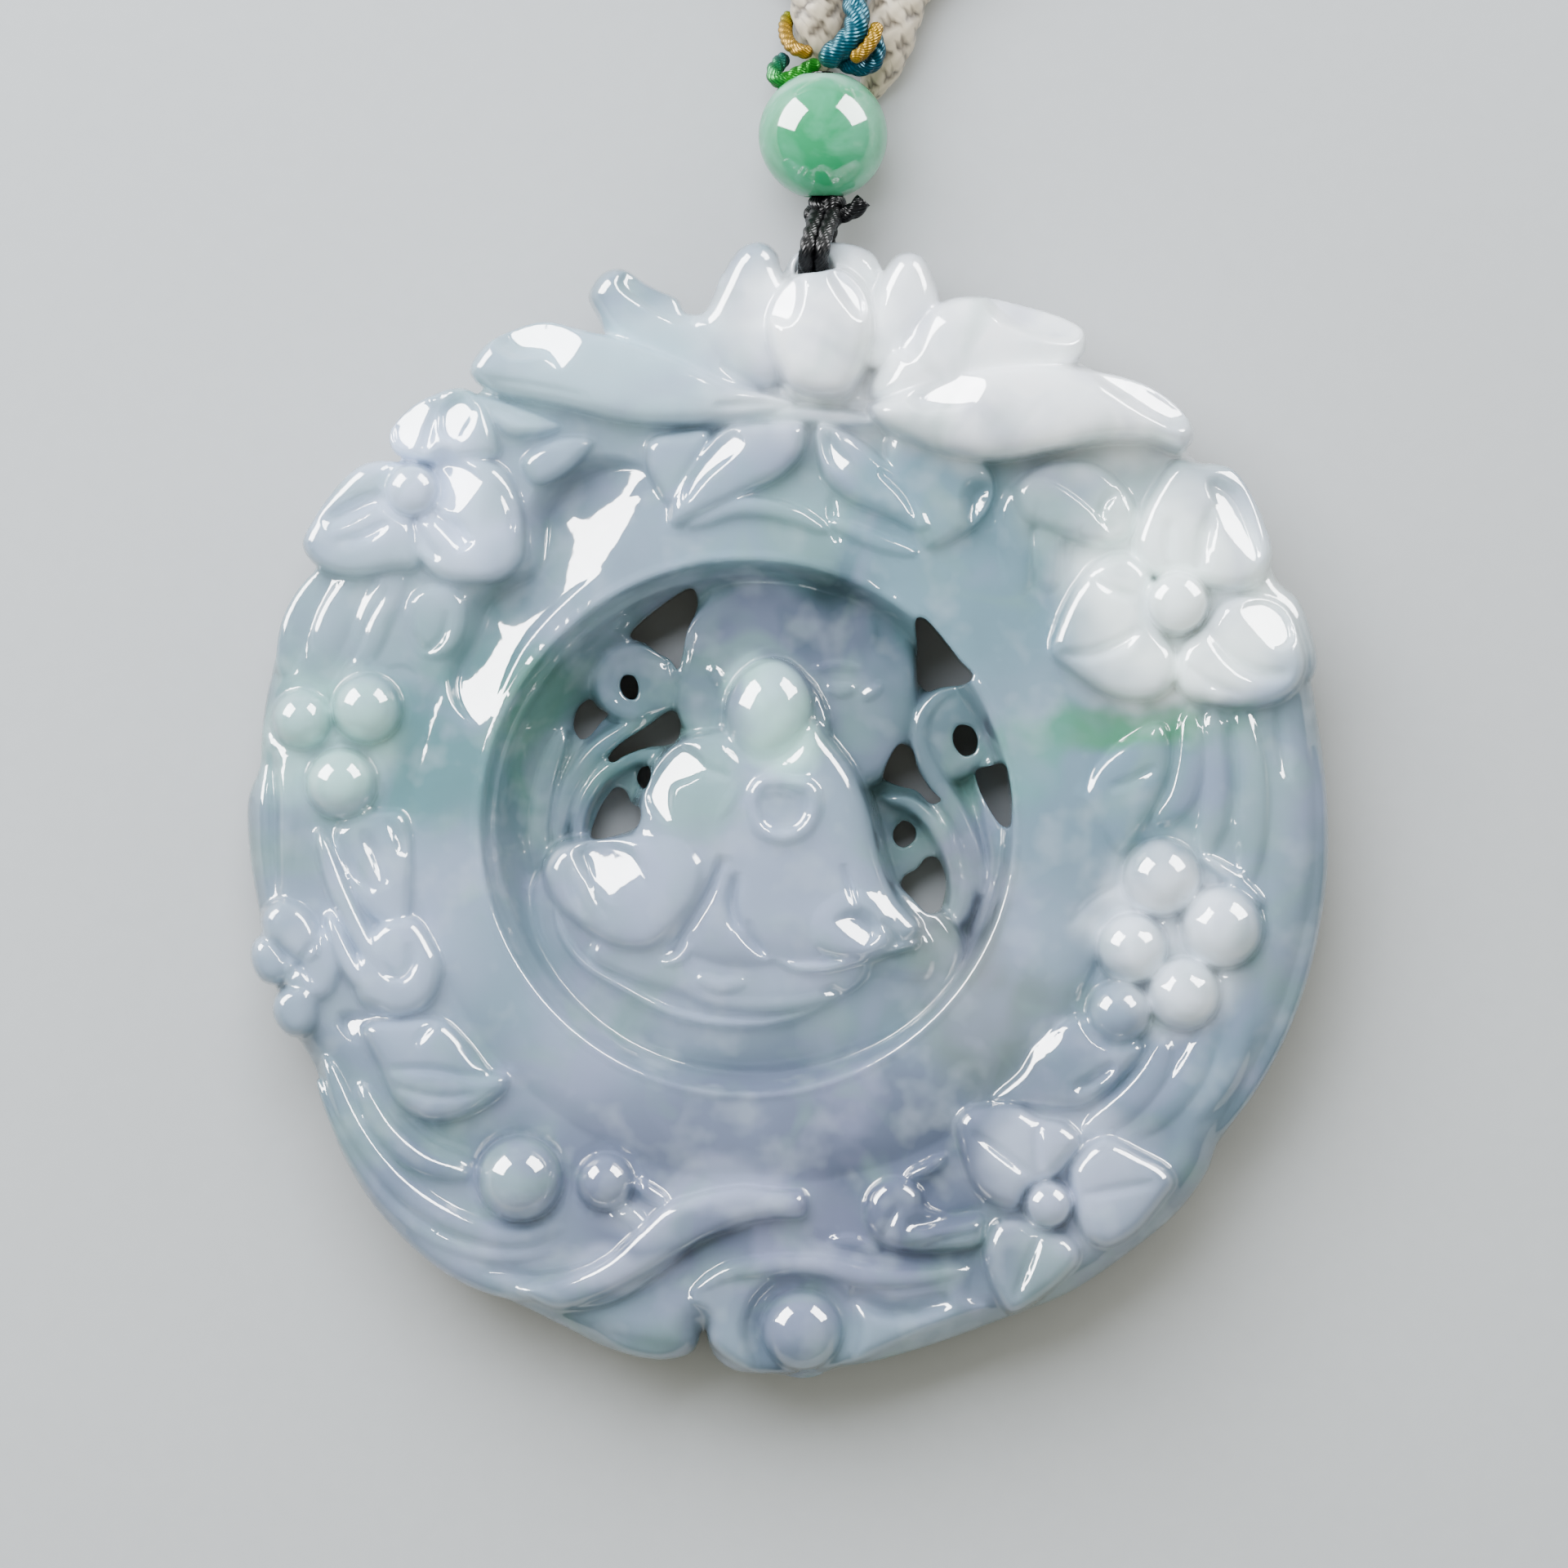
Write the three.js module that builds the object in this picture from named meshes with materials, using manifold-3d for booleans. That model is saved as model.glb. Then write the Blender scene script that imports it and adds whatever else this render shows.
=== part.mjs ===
import * as THREE from "three";
import { mergeVertices } from "three/addons/utils/BufferGeometryUtils.js";
import Module from "manifold-3d";

// A carved jade pendant with its drilled bead and braided cord, in millimetres.
// It lies on its flat back on z = 0, face up, with the lotus towards +Y.
// The origin is the centre of the round plaque, on the back face.

// The plaque
const PLAQUE_RADIUS = 28.9;
const RIM_Z = 4.0;
const GROUND_Z = 6.7;
const RING_Z = 8.1;
const PLAQUE_SEGMENTS = 36;
const LOTUS_CUT_Y = 24.6;

// Its section as [radius, z] pairs, from the middle of the back round to the middle of the ring
const PLAQUE_SECTION = [
  [0, 0],
  [26.5, 0],
  [28.1, 1.3],
  [PLAQUE_RADIUS, RIM_Z],
  [26.7, 6.3],
  [24.4, GROUND_Z],
  [20.6, GROUND_Z],
  [18.6, 7.8],
  [16, RING_Z],
  [0, RING_Z],
];

// The dished well in its middle, set a little left of the centre
const WELL_X = -2.2;
const WELL_FLOOR_Z = 2.6;
const WELL_SEGMENTS = 28;

// Its section, from the floor up the sloping wall to the lip and on, clear of the ring
const WELL_SECTION = [
  [0, WELL_FLOOR_Z],
  [12.1, WELL_FLOOR_Z],
  [13.1, 4.6],
  [13.85, 6.6],
  [14.35, RING_Z],
  [14.35, 14],
  [0, 14],
];

// The drilled hole for the silk: it leans through the lotus's back petal
const SILK_HOLE_RADIUS = 1.15;
const SILK_HOLE_FRONT = [1.4, 30.0, 7.4];
const SILK_HOLE_BACK = [1.4, 28.7, 1.0];

// The bead
const BEAD_RADIUS = 3.47;
const BEAD_BORE = 0.95;
const BEAD_X = 1.87;
const BEAD_Y = 37.0;
const BEAD_SEGMENTS = 16;
const BEAD_ARC_STEPS = 9;

// The silk: from its knot over the back petal's edge, down the hole and back under the petal
const SILK_RADIUS = 0.6;
const SILK_KNOT = [2.15, 32.7, 3.47];
const SILK_LOOP = [
  SILK_KNOT, [2.0, 32.3, 5.2], [1.7, 31.6, 6.6], [1.45, 30.6, 7.3], [1.4, 29.9, 6.7], [1.4, 29.4, 4.6],
  [1.4, 29.0, 2.6], [1.5, 29.3, 1.4], [1.7, 30.5, 1.2], [1.9, 31.7, 1.7], SILK_KNOT,
];
const SILK_TAIL = [SILK_KNOT, [3.2, 32.6, 3.9], [4.1, 32.8, 4.2]];
const SILK_STRAND = [
  SILK_KNOT, [BEAD_X, 34.0, BEAD_RADIUS], [BEAD_X, BEAD_Y, BEAD_RADIUS], [BEAD_X, 40.4, BEAD_RADIUS],
];
const SILK_SIDES = 6;
const SILK_KNOT_RADIUS = 1.0;

// The braided cord: two arms from the bead to the coil, lying on the ground
const IVORY_RADIUS = 1.5;
const IVORY_Z = 1.6;
const LEFT_ARM = [[1.6, 43.0], [1.6, 44.2], [1.2, 45.6], [-0.4, 47.2]];
const RIGHT_ARM = [[4.9, 40.9], [5.35, 42.4], [5.85, 44.2], [6.7, 45.7], [8.0, 47.2]];

// The coil of its spare length: two layers of turns
const COIL_X = 3.5;
const COIL_Y = 70.0;
const COIL_OUTER_TURN = 19.5;
const COIL_TURNS_IN_LAYER = 2.875;
const COIL_INNER_TURN = COIL_OUTER_TURN - 2 * IVORY_RADIUS * COIL_TURNS_IN_LAYER;
const COIL_LAYERS = 2;
const COIL_SEGMENTS = 32;

// The wraps that bind the two arms above the bead
const TEAL_RADIUS = 0.75;
const TEAL_ROUTE = [
  [3.8, 46.2, 1.4], [3.85, 45.2, 3.0], [3.8, 44.1, 4.0], [3.2, 42.8, 4.4], [1.9, 41.95, 4.1],
  [0.6, 41.65, 3.3], [-0.5, 41.3, 2.1], [-0.8, 41.0, 0.9],
];
const WRAP_SIDES = 6;
const GOLD_RADIUS = 0.45;
const GOLD_ROUTE = [[-0.8, 44.4, 0.7], [-0.8, 43.5, 1.6], [-0.7, 42.9, 2.6], [-0.1, 42.75, 3.4]];

const WELD_DISTANCE = 1e-4;
const FULL_TURN = 2 * Math.PI;

const jade = new THREE.MeshStandardMaterial({ color: 0xb4c7c8, roughness: 0.12, metalness: 0 });
const greenJade = new THREE.MeshStandardMaterial({ color: 0x46a878, roughness: 0.1, metalness: 0 });
const blackSilk = new THREE.MeshStandardMaterial({ color: 0x121214, roughness: 0.45, metalness: 0 });
const ivoryBraid = new THREE.MeshStandardMaterial({ color: 0xd9cdb0, roughness: 0.7, metalness: 0 });
const tealSilk = new THREE.MeshStandardMaterial({ color: 0x0b7285, roughness: 0.5, metalness: 0 });
const goldSilk = new THREE.MeshStandardMaterial({ color: 0xb9a52c, roughness: 0.5, metalness: 0 });

const wasm = await Module();
wasm.setup();

function welded(geometry) {
  geometry.deleteAttribute("normal");
  geometry.deleteAttribute("uv");
  return mergeVertices(geometry, WELD_DISTANCE);
}

function solidOf(geometry) {
  const merged = welded(geometry);
  const corners = merged.index.array;
  const kept = [];
  for (let i = 0; i < corners.length; i += 3) {
    const [a, b, c] = corners.slice(i, i + 3);
    if (a !== b && b !== c && c !== a) kept.push(a, b, c);
  }
  return new wasm.Manifold(
    new wasm.Mesh({
      numProp: 3,
      vertProperties: merged.attributes.position.array,
      triVerts: new Uint32Array(kept),
    }),
  );
}

function meshOf(name, solid, material) {
  const { vertProperties, triVerts } = solid.getMesh();
  const geometry = new THREE.BufferGeometry();
  geometry.setAttribute("position", new THREE.BufferAttribute(vertProperties, 3));
  geometry.setIndex(new THREE.BufferAttribute(triVerts, 1));
  geometry.computeVertexNormals();
  const mesh = new THREE.Mesh(geometry, material);
  mesh.name = name;
  return mesh;
}

function joined(solids) {
  return solids.reduce((whole, next) => whole.add(next));
}

function curveThrough(line, closed) {
  const points = line.map(([x, y, z = 0]) => new THREE.Vector3(x, y, z));
  return new THREE.CatmullRomCurve3(points, closed, "centripetal");
}

function mapVertices(geometry, place) {
  const position = geometry.attributes.position;
  for (let i = 0; i < position.count; i += 1) {
    const [x, y, z] = place(position.getX(i), position.getY(i), position.getZ(i));
    position.setXYZ(i, x, y, z);
  }
  return geometry;
}

// A turned solid round the Z axis, from [radius, z] pairs that run from the bottom up
function turned(profile, segments) {
  const points = profile.map(([radius, z]) => new THREE.Vector2(radius, z));
  return new THREE.LatheGeometry(points, segments).rotateX(Math.PI / 2);
}

// A domed form over a closed outline: a petal, leaf or fold of a robe.
// `back` is its flat underside, `rim` the height of its edge and `crown` its highest point.
// Its sides run straight down from the rim, as a carver's drill leaves them.
function dome({ outline, back = 1.5, rim, crown, crest, sides = 8, rings = 4 }) {
  const edge = curveThrough(outline, true).getSpacedPoints(sides).slice(0, sides);
  if (THREE.ShapeUtils.area(edge) < 0) edge.reverse();
  const middle = edge.reduce((sum, point) => sum.add(point), new THREE.Vector3()).divideScalar(sides);
  const [crestX, crestY] = crest ?? [middle.x, middle.y];
  const unit = welded(new THREE.SphereGeometry(1, sides, rings)).rotateX(Math.PI / 2);
  const undersideStarts = -0.8;
  return solidOf(
    mapVertices(unit, (x, y, z) => {
      const turn = (Math.atan2(-y, -x) / FULL_TURN + 1) % 1;
      const point = edge[Math.round(turn * sides) % sides];
      const below = z < -WELD_DISTANCE;
      const spread = below && z > undersideStarts ? 1 : Math.hypot(x, y);
      const height = below ? back : rim + (crown - rim) * z;
      return [crestX + (point.x - crestX) * spread, crestY + (point.y - crestY) * spread, height];
    }),
  );
}

// A ridge that follows a line, full in its middle and drawn in at both ends: a fold, vein or scroll.
// `z` is the height of its shoulders, and it reaches down into the stone as far as `foot`.
function ridge({ line, width, height, z, foot = 3, sides = 4, steps = 6, fullness = 0.55 }) {
  const curve = curveThrough(line, false);
  const unit = welded(new THREE.SphereGeometry(1, sides, steps)).rotateX(Math.PI / 2);
  const up = new THREE.Vector3(0, 0, 1);
  return solidOf(
    mapVertices(unit, (x, y, along) => {
      const share = 1 - Math.acos(THREE.MathUtils.clamp(along, -1, 1)) / Math.PI;
      const girth = Math.hypot(x, y);
      const swell = girth > 0 ? girth ** fullness / girth : 0;
      const point = curve.getPointAt(share);
      const side = up.clone().cross(curve.getTangentAt(share).setZ(0).normalize());
      point.addScaledVector(side, (width / 2) * x * swell);
      return [point.x, point.y, z + (y < 0 ? z - foot : height) * y * swell];
    }),
  );
}

// A tube along a route, with a section of `sides` flats
function tube(route, radius, steps, sides = 8) {
  const corners = Array.from({ length: sides }, (_, i) => {
    const angle = (i / sides) * FULL_TURN;
    return new THREE.Vector2(radius * Math.cos(angle), radius * Math.sin(angle));
  });
  return new THREE.ExtrudeGeometry(new THREE.Shape(corners), {
    steps,
    extrudePath: curveThrough(route, false),
    bevelEnabled: false,
  });
}

// A round or oval form that is carved down from its shoulders, `lean` being its turn in plan
function berry({ at: [x, y], radius, radiusY = radius, lean = 0, z, height = radius, sides = 8, rings = 6 }) {
  const outline = Array.from({ length: sides }, (_, i) => {
    const angle = (i / sides) * FULL_TURN;
    const point = new THREE.Vector2(radius * Math.cos(angle), radiusY * Math.sin(angle));
    point.rotateAround(new THREE.Vector2(), lean);
    return [x + point.x, y + point.y];
  });
  return dome({ outline, rim: z, crown: z + height, sides, rings });
}

function plaque() {
  const body = solidOf(turned(PLAQUE_SECTION, PLAQUE_SEGMENTS));
  const cut = 2 * PLAQUE_RADIUS;
  const overLotus = new THREE.BoxGeometry(cut, cut, cut).translate(0, LOTUS_CUT_Y + cut / 2, 0);
  return body.subtract(solidOf(overLotus));
}

function well() {
  return solidOf(turned(WELL_SECTION, WELL_SEGMENTS).translate(WELL_X, 0, 0));
}

// The piercings between the clouds: outlines with their corners rounded by a curve
const PIERCINGS = [
  [[-5.2, 12.6], [-8.4, 10.2], [-7, 9.5], [-5.9, 8.3], [-5.4, 10.3], [-4.8, 11.8]],
  [[-9, 7.5], [-8.5, 6.8], [-8, 7.5], [-8.5, 8.2]],
  [[-11.5, 5.4], [-10.9, 6.8], [-9.7, 6.3], [-10.2, 5.4], [-11.1, 4.6]],
  [[-9.6, 3.6], [-8, 5], [-6.1, 6.1], [-5.8, 5.2], [-6.1, 4.4], [-7.5, 4.2], [-9, 3.5]],
  [[-8.1, 2.6], [-7.7, 3.2], [-7.35, 2.6], [-7.7, 2.0]],
  [[-10.5, -0.6], [-10, 0.7], [-9.3, 2], [-8.7, 1.8], [-8, 0.9], [-8.1, 0.2], [-9, -0.4]],
  [[6.9, 11.1], [7, 9], [7.2, 7.5], [7.8, 7.2], [9.8, 7.9], [9, 9], [7.7, 10.6]],
  [[5.2, 2.6], [5.5, 3.7], [6.1, 4.3], [6.6, 3.9], [6.9, 2.8], [8.1, 1.3], [6.8, 2], [5.6, 2.2]],
  [[8.85, 4.6], [9.5, 3.8], [10.15, 4.6], [9.5, 5.4]],
  [[10.1, 2.8], [11.4, 3.3], [11.8, 1.8], [11.8, 0.2], [11.3, 0], [10.4, 1.8]],
  [[5.7, -0.4], [6.3, -1.1], [6.9, -0.4], [6.3, 0.3]],
  [[7.4, -1.8], [8, -1.7], [8.5, -3], [8.2, -4.2], [7.6, -4.6], [6.3, -3.4], [6.3, -2.5]],
];
const PIERCING_TOP_Z = 6;
const PIERCING_BOTTOM_Z = -2;
const PIERCING_SIDES = 8;

function piercings() {
  return PIERCINGS.map((outline) => {
    const edge = curveThrough(outline, true).getSpacedPoints(PIERCING_SIDES).slice(0, -1);
    const shape = new THREE.Shape(edge.map(({ x, y }) => new THREE.Vector2(x, y)));
    const depth = PIERCING_TOP_Z - PIERCING_BOTTOM_Z;
    const cutter = new THREE.ExtrudeGeometry(shape, { depth, bevelEnabled: false });
    return solidOf(cutter.translate(0, 0, PIERCING_BOTTOM_Z));
  });
}

// The cloud scrolls on the well's floor, left and right of the figure
const CLOUD_SCROLLS = [
  { line: [[-6.4, 8.6], [-8, 9.4], [-9.8, 8.7], [-10, 7], [-8.9, 6.1], [-7.4, 6.9]], width: 0.9 },
  { line: [[-6.2, 6.7], [-9, 4.9], [-11, 3], [-12.3, 0.4], [-12.4, -1.6]], width: 1.3 },
  { line: [[-6.4, 3.9], [-8.4, 3.7], [-10.3, 2.4], [-11.2, 0.6], [-11.2, -0.8]], width: 1.0 },
  { line: [[11, 4.4], [10.6, 6.4], [9, 7], [7.5, 6.2], [7.1, 4.4], [8.3, 2.2]], width: 1.2 },
  { line: [[7.3, 4.4], [8.6, 1.9], [9.8, -0.6], [10.3, -2.8], [9.9, -4]], width: 1.4 },
  { line: [[5.2, 1.4], [7, 1.1], [8.5, -0.8], [9.1, -3.2], [8.9, -5.4]], width: 1.1 },
];

function cloudScrolls() {
  return CLOUD_SCROLLS.map((scroll) => ridge({ height: 0.8, z: WELL_FLOOR_Z, foot: 0.6, ...scroll }));
}

// The seated figure, hooded and with folded arms, before a plain cliff; its face is left smooth
function figure() {
  const cliff = dome({
    outline: [
      [6.3, 5.8], [6.8, 9], [6.3, 11.5], [3.5, 13.3], [0, 13.9], [-3, 13.3],
      [-4.7, 11.9], [-5.4, 10.2], [-5.8, 8], [-5.5, 5.4], [0, 2], [5, 2.4],
    ],
    back: 0.2,
    rim: 3.4,
    crown: 5.2,
    sides: 16,
  });
  const dish = dome({
    outline: [
      [9, -7], [4, -11.4], [-2.2, -12.9], [-8.4, -11.4], [-13.3, -6], [-12, -3], [-2, -1], [6, -3],
    ],
    back: 0.4,
    rim: 3.4,
    crown: 5.4,
    sides: 16,
  });
  const robe = dome({
    outline: [
      [0.8, 6], [-2.6, 5.6], [-5.4, 4.7], [-7, 3.4], [-8.1, 1], [-8.6, -1.6], [-8.8, -5], [-7, -8],
      [-3, -9.6], [1, -9.4], [5, -8.4], [7.8, -8], [7.4, -5.4], [5.5, -3.6], [4.8, -2], [4.2, 1],
      [3.3, 3.2], [2, 4.6],
    ],
    back: 0.4,
    rim: 4.4,
    crown: 8.2,
    crest: [-1.4, -0.4],
    sides: 22,
    rings: 6,
  });
  const sleeve = dome({
    outline: [
      [-12.9, -2], [-12.6, -4.4], [-11, -6], [-8.6, -6.6], [-6, -5.7], [-4.6, -3.8], [-4.4, -1.6],
      [-6.8, -0.4], [-9, -0.6], [-11, -1],
    ],
    back: 1,
    rim: 5.6,
    crown: 8.0,
    rings: 6,
  });
  const knee = dome({
    outline: [
      [4.4, -4.6], [3, -2], [0.6, -1.2], [-1.9, -2.4], [-2.6, -4.8], [-1.8, -7], [0.8, -8], [3.6, -7],
    ],
    back: 1,
    rim: 6.4,
    crown: 8.3,
  });
  const hems = [
    {
      line: [[-12.6, -3.8], [-11.8, -6.4], [-9.4, -8.7], [-6, -10], [-2, -10.4], [1.6, -9.8], [4.4, -8]],
      z: 5,
    },
    { line: [[-10.4, -7], [-8, -8], [-4.6, -9], [-1, -9.3], [2, -8.7], [4, -7.8]], z: 5.9 },
  ].map((hem) => ridge({ width: 1.3, height: 1.0, steps: 10, ...hem }));
  const folds = [
    { line: [[-1.2, 1.8], [0.2, 2], [1.2, 1.2], [1.1, 0], [0, -0.8], [-2.2, -0.9]], z: 7.9 },
    { line: [[-2.7, 3], [-2.6, 1.8], [-3.6, 0.4], [-4.4, -0.4]], z: 7.8 },
    { line: [[-7, 2], [-6.2, 2.9], [-5, 3.3], [-4.6, 2.4]], z: 6.7 },
    { line: [[1.9, 3], [2.5, 1.6], [2.4, 0.4]], z: 6.9 },
  ].map((fold) => ridge({ width: 0.9, height: 0.7, steps: 6, ...fold }));
  const head = berry({
    at: [-1, 6.1],
    radius: 2.2,
    radiusY: 2.75,
    lean: -0.35,
    z: 6.6,
    height: 2.3,
    sides: 10,
  });
  return [cliff, dish, robe, sleeve, knee, head, ...hems, ...folds];
}

// The lotus at the top, petal by petal from the back ones to the front ones
const LOTUS_PETALS = [
  {
    outline: [
      [4.9, 29.9], [4.3, 30.9], [2.2, 31.2], [0.6, 31], [-0.2, 29.5], [0.2, 26], [2.5, 25], [5, 27],
    ],
    rim: 4.8, crown: 6.2,
  },
  {
    outline: [
      [0.2, 27], [-0.4, 29.8], [-1, 31], [-2.2, 31.1], [-3.2, 30.3], [-4.7, 27.2], [-2.5, 23.6],
      [0.3, 23.4],
    ],
    rim: 6, crown: 8.4,
  },
  {
    outline: [
      [8.1, 27.9], [7.5, 29.8], [7, 30.5], [5.8, 30.5], [5.2, 29.8], [4.3, 27], [5, 24.3], [7.6, 25.3],
    ],
    rim: 6, crown: 8.8,
  },
  {
    outline: [
      [-4.5, 27.2], [-5.8, 28.1], [-9.2, 29.8], [-10.7, 28.4], [-9.8, 26.3], [-6, 23.4], [-1.6, 22.8],
    ],
    rim: 5.6, crown: 8.2,
  },
  {
    outline: [
      [15.1, 24.4], [15.9, 26], [15, 27], [12.5, 27.8], [10, 28.3], [8, 27.8], [5, 25.5], [4.3, 23],
      [8, 22.6],
    ],
    rim: 6.4, crown: 9.8,
  },
  {
    outline: [
      [0.5, 22.6], [-5, 24.6], [-9, 26], [-13, 26.9], [-15.3, 26], [-17, 24.2], [-12, 22.5], [-8, 21.5],
      [-4, 21.7],
    ],
    rim: 7, crown: 10.2, sides: 14,
  },
  {
    outline: [
      [20.9, 19.9], [21.6, 21], [20.5, 22.6], [18.5, 23.8], [15.2, 24.5], [12, 24.6], [8, 23.9],
      [4.3, 22.2], [5.5, 21], [8, 19.9], [10.5, 19.5], [14, 20],
    ],
    rim: 7.4, crown: 11.2, sides: 16, rings: 6,
  },
  {
    outline: [
      [4.3, 25], [4.6, 27.2], [3.8, 29], [2.2, 29.7], [0.5, 29.3], [-0.8, 27.6], [-0.9, 25.5],
      [0.2, 22.8], [3.2, 22.8],
    ],
    rim: 7.8, crown: 11.3, rings: 6,
  },
];
const LOTUS_UNDERSIDE_Z = 3.0;

function lotus() {
  const heart = dome({
    outline: [[9, 23.5], [6, 27], [2, 28.3], [-3, 27.4], [-9, 24.6], [-14, 22], [0, 19], [15, 20]],
    back: 0.8,
    rim: 4.4,
    crown: 7,
  });
  return [heart, ...LOTUS_PETALS.map((petal) => dome({ back: LOTUS_UNDERSIDE_Z, ...petal }))];
}

// The petals of the four flowers, and the leaves, sepals and folds between them
const SMALL_FORMS = [
  // the upper left flower
  {
    outline: [
      [-15.5, 19.9], [-15.9, 22], [-17.2, 23.4], [-18.6, 23.3], [-20.5, 22], [-21.3, 20.8], [-21, 19.8],
      [-18.5, 19],
    ],
    rim: 7.4, crown: 9.6,
  },
  {
    outline: [
      [-21, 19.5], [-22.7, 19.3], [-24.5, 17.5], [-25.9, 15], [-25.1, 13.7], [-22, 13.4], [-19.8, 13.7],
      [-19.5, 17],
    ],
    rim: 7.2, crown: 9.7,
  },
  {
    outline: [
      [-16, 19.6], [-18.9, 19.3], [-19.9, 16.2], [-19.2, 13.6], [-17, 12.9], [-15, 13.3], [-14, 15.2],
      [-14.4, 17.5],
    ],
    rim: 7.6, crown: 10,
  },
  // the upper right flower
  {
    outline: [
      [25.5, 13], [25.9, 15], [24.8, 17.3], [23.2, 19.2], [21, 19.6], [19.6, 18.2], [18.8, 15.8],
      [19.2, 13.4], [22.5, 12.8],
    ],
    rim: 7.4, crown: 10.2,
  },
  {
    outline: [
      [20.5, 8], [20.3, 11], [19.5, 13.5], [18, 14.7], [16, 14.2], [14.5, 12.3], [13.9, 9.3], [16, 7.3],
      [18.5, 6.7],
    ],
    rim: 7.6, crown: 10.4,
  },
  {
    outline: [
      [27.3, 8.4], [27, 10.5], [25.5, 12.3], [23, 12.3], [21, 10.4], [20.6, 8.2], [22, 6.5], [25.2, 6.4],
    ],
    rim: 7.4, crown: 10.2,
  },
  {
    outline: [
      [28.3, 8.4], [28.2, 10], [27.3, 12.3], [25.4, 14.2], [24, 12], [25, 8.6], [26.9, 7.6],
    ],
    rim: 5, crown: 7.2,
  },
  // the lower right flower
  {
    outline: [
      [14.5, -18], [15.7, -16.7], [15, -15.9], [12.6, -15], [10, -14.7], [9.1, -15.5], [9.1, -17],
      [10.2, -19.7], [12.8, -20.2],
    ],
    rim: 7.6, crown: 9.5,
  },
  {
    outline: [
      [20.6, -18.6], [19, -17.1], [16.8, -16.5], [15, -18.2], [15.2, -21.8], [16.8, -22.3], [18.6, -21.2],
    ],
    rim: 7.4, crown: 9.6,
  },
  {
    outline: [
      [14.5, -21.2], [11, -20.9], [10.3, -22.8], [11.9, -25.9], [13.5, -25.2], [15.6, -22.7],
    ],
    rim: 7.2, crown: 9.2,
  },
  // the small flower on the left rim
  {
    outline: [
      [-24.4, -5.6], [-24.2, -8], [-25.2, -9.6], [-27, -8.6], [-28.6, -7.4], [-28.7, -6], [-28.2, -4.6],
      [-26.6, -3.8],
    ],
    rim: 6, crown: 8.6,
  },
  {
    outline: [
      [-24.9, -9.8], [-25.2, -11], [-26.5, -11.3], [-27.6, -10.2], [-27.2, -8.8], [-26, -8.2],
    ],
    rim: 5.8, crown: 8.4,
  },
  // sepals under the lotus
  {
    outline: [
      [0.8, 21.4], [-3, 21.3], [-5.3, 19.4], [-6.4, 17.2], [-6.2, 15.9], [-3.6, 17], [-1, 18.6],
      [0.8, 20.3],
    ],
    rim: 7.8, crown: 9,
  },
  {
    outline: [
      [-4.2, 20.4], [-5.6, 21], [-7.4, 20.5], [-7.5, 18.6], [-6.3, 17.2], [-5.2, 18.6],
    ],
    rim: 7.6, crown: 8.7,
  },
  {
    outline: [
      [1.5, 21.4], [1.4, 19.8], [2.2, 18.2], [4.5, 16.8], [7.3, 15.6], [7.6, 16.2], [5.6, 18.3],
      [3.2, 20.6],
    ],
    rim: 7.8, crown: 9.1,
  },
  {
    outline: [
      [10.9, 18.1], [8, 20.4], [4.2, 21], [5.4, 17], [7, 14.5], [9.4, 15.6],
    ],
    rim: 7.4, crown: 8.6,
  },
  // leaves
  {
    outline: [
      [18.6, 16.5], [18, 18.2], [15.5, 19.6], [12.5, 18.8], [13, 16.6], [15.6, 15.4], [17.6, 14.8],
    ],
    rim: 7.2, crown: 8.8,
  },
  {
    outline: [
      [-10.3, 20.4], [-12, 20.7], [-14.2, 19.2], [-13.3, 18.1], [-11.2, 19.1],
    ],
    rim: 7.2, crown: 8.3, sides: 10,
  },
  { outline: [[-12.4, 21.2], [-14, 22], [-16.6, 22.9], [-15.3, 20.8]], rim: 7.2, crown: 8.3, sides: 10 },
  {
    outline: [
      [-17.4, 11.4], [-18.8, 12.6], [-20.2, 11], [-20.2, 9.8], [-19, 9], [-17.8, 9.8],
    ],
    rim: 7.2, crown: 8.8, sides: 10,
  },
  {
    outline: [
      [-20.2, -0.6], [-21.5, 0.6], [-23.5, 0.6], [-23.6, -2.4], [-21.6, -5.2], [-20.2, -5], [-20, -3],
    ],
    rim: 7.4, crown: 9,
  },
  {
    outline: [
      [-18.5, -7.2], [-19.6, -5.2], [-21.6, -5], [-23.2, -6.6], [-23, -9], [-21.2, -10.1], [-19.4, -9.6],
    ],
    rim: 7.4, crown: 9.6,
  },
  {
    outline: [
      [-14.8, -13.8], [-16.2, -12], [-17.9, -10.4], [-20.5, -10], [-22.4, -11.2], [-21.6, -13],
      [-20.7, -14.8], [-18.5, -15.8], [-16.5, -15],
    ],
    rim: 7.4, crown: 9.2,
  },
  {
    outline: [
      [19.6, 0.9], [20.6, 3.6], [19.8, 5.4], [16.4, 3.9], [15.3, 1.8], [16.2, 0.6], [18, -0.6],
    ],
    rim: 7.6, crown: 8.7,
  },
  {
    outline: [
      [18.6, -11.6], [16.5, -10], [13.2, -11.6], [12.3, -13], [11, -14.4], [13.5, -14.6], [16, -14],
    ],
    rim: 7.4, crown: 8.7,
  },
  // the cup under the bottom berry
  {
    outline: [
      [4.6, -26], [0, -24.4], [-4.4, -26.4], [-3.9, -28.6], [-2, -29.3], [2, -29.3], [4.2, -28.4],
    ],
    rim: 5.2, crown: 7,
  },
];

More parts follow.
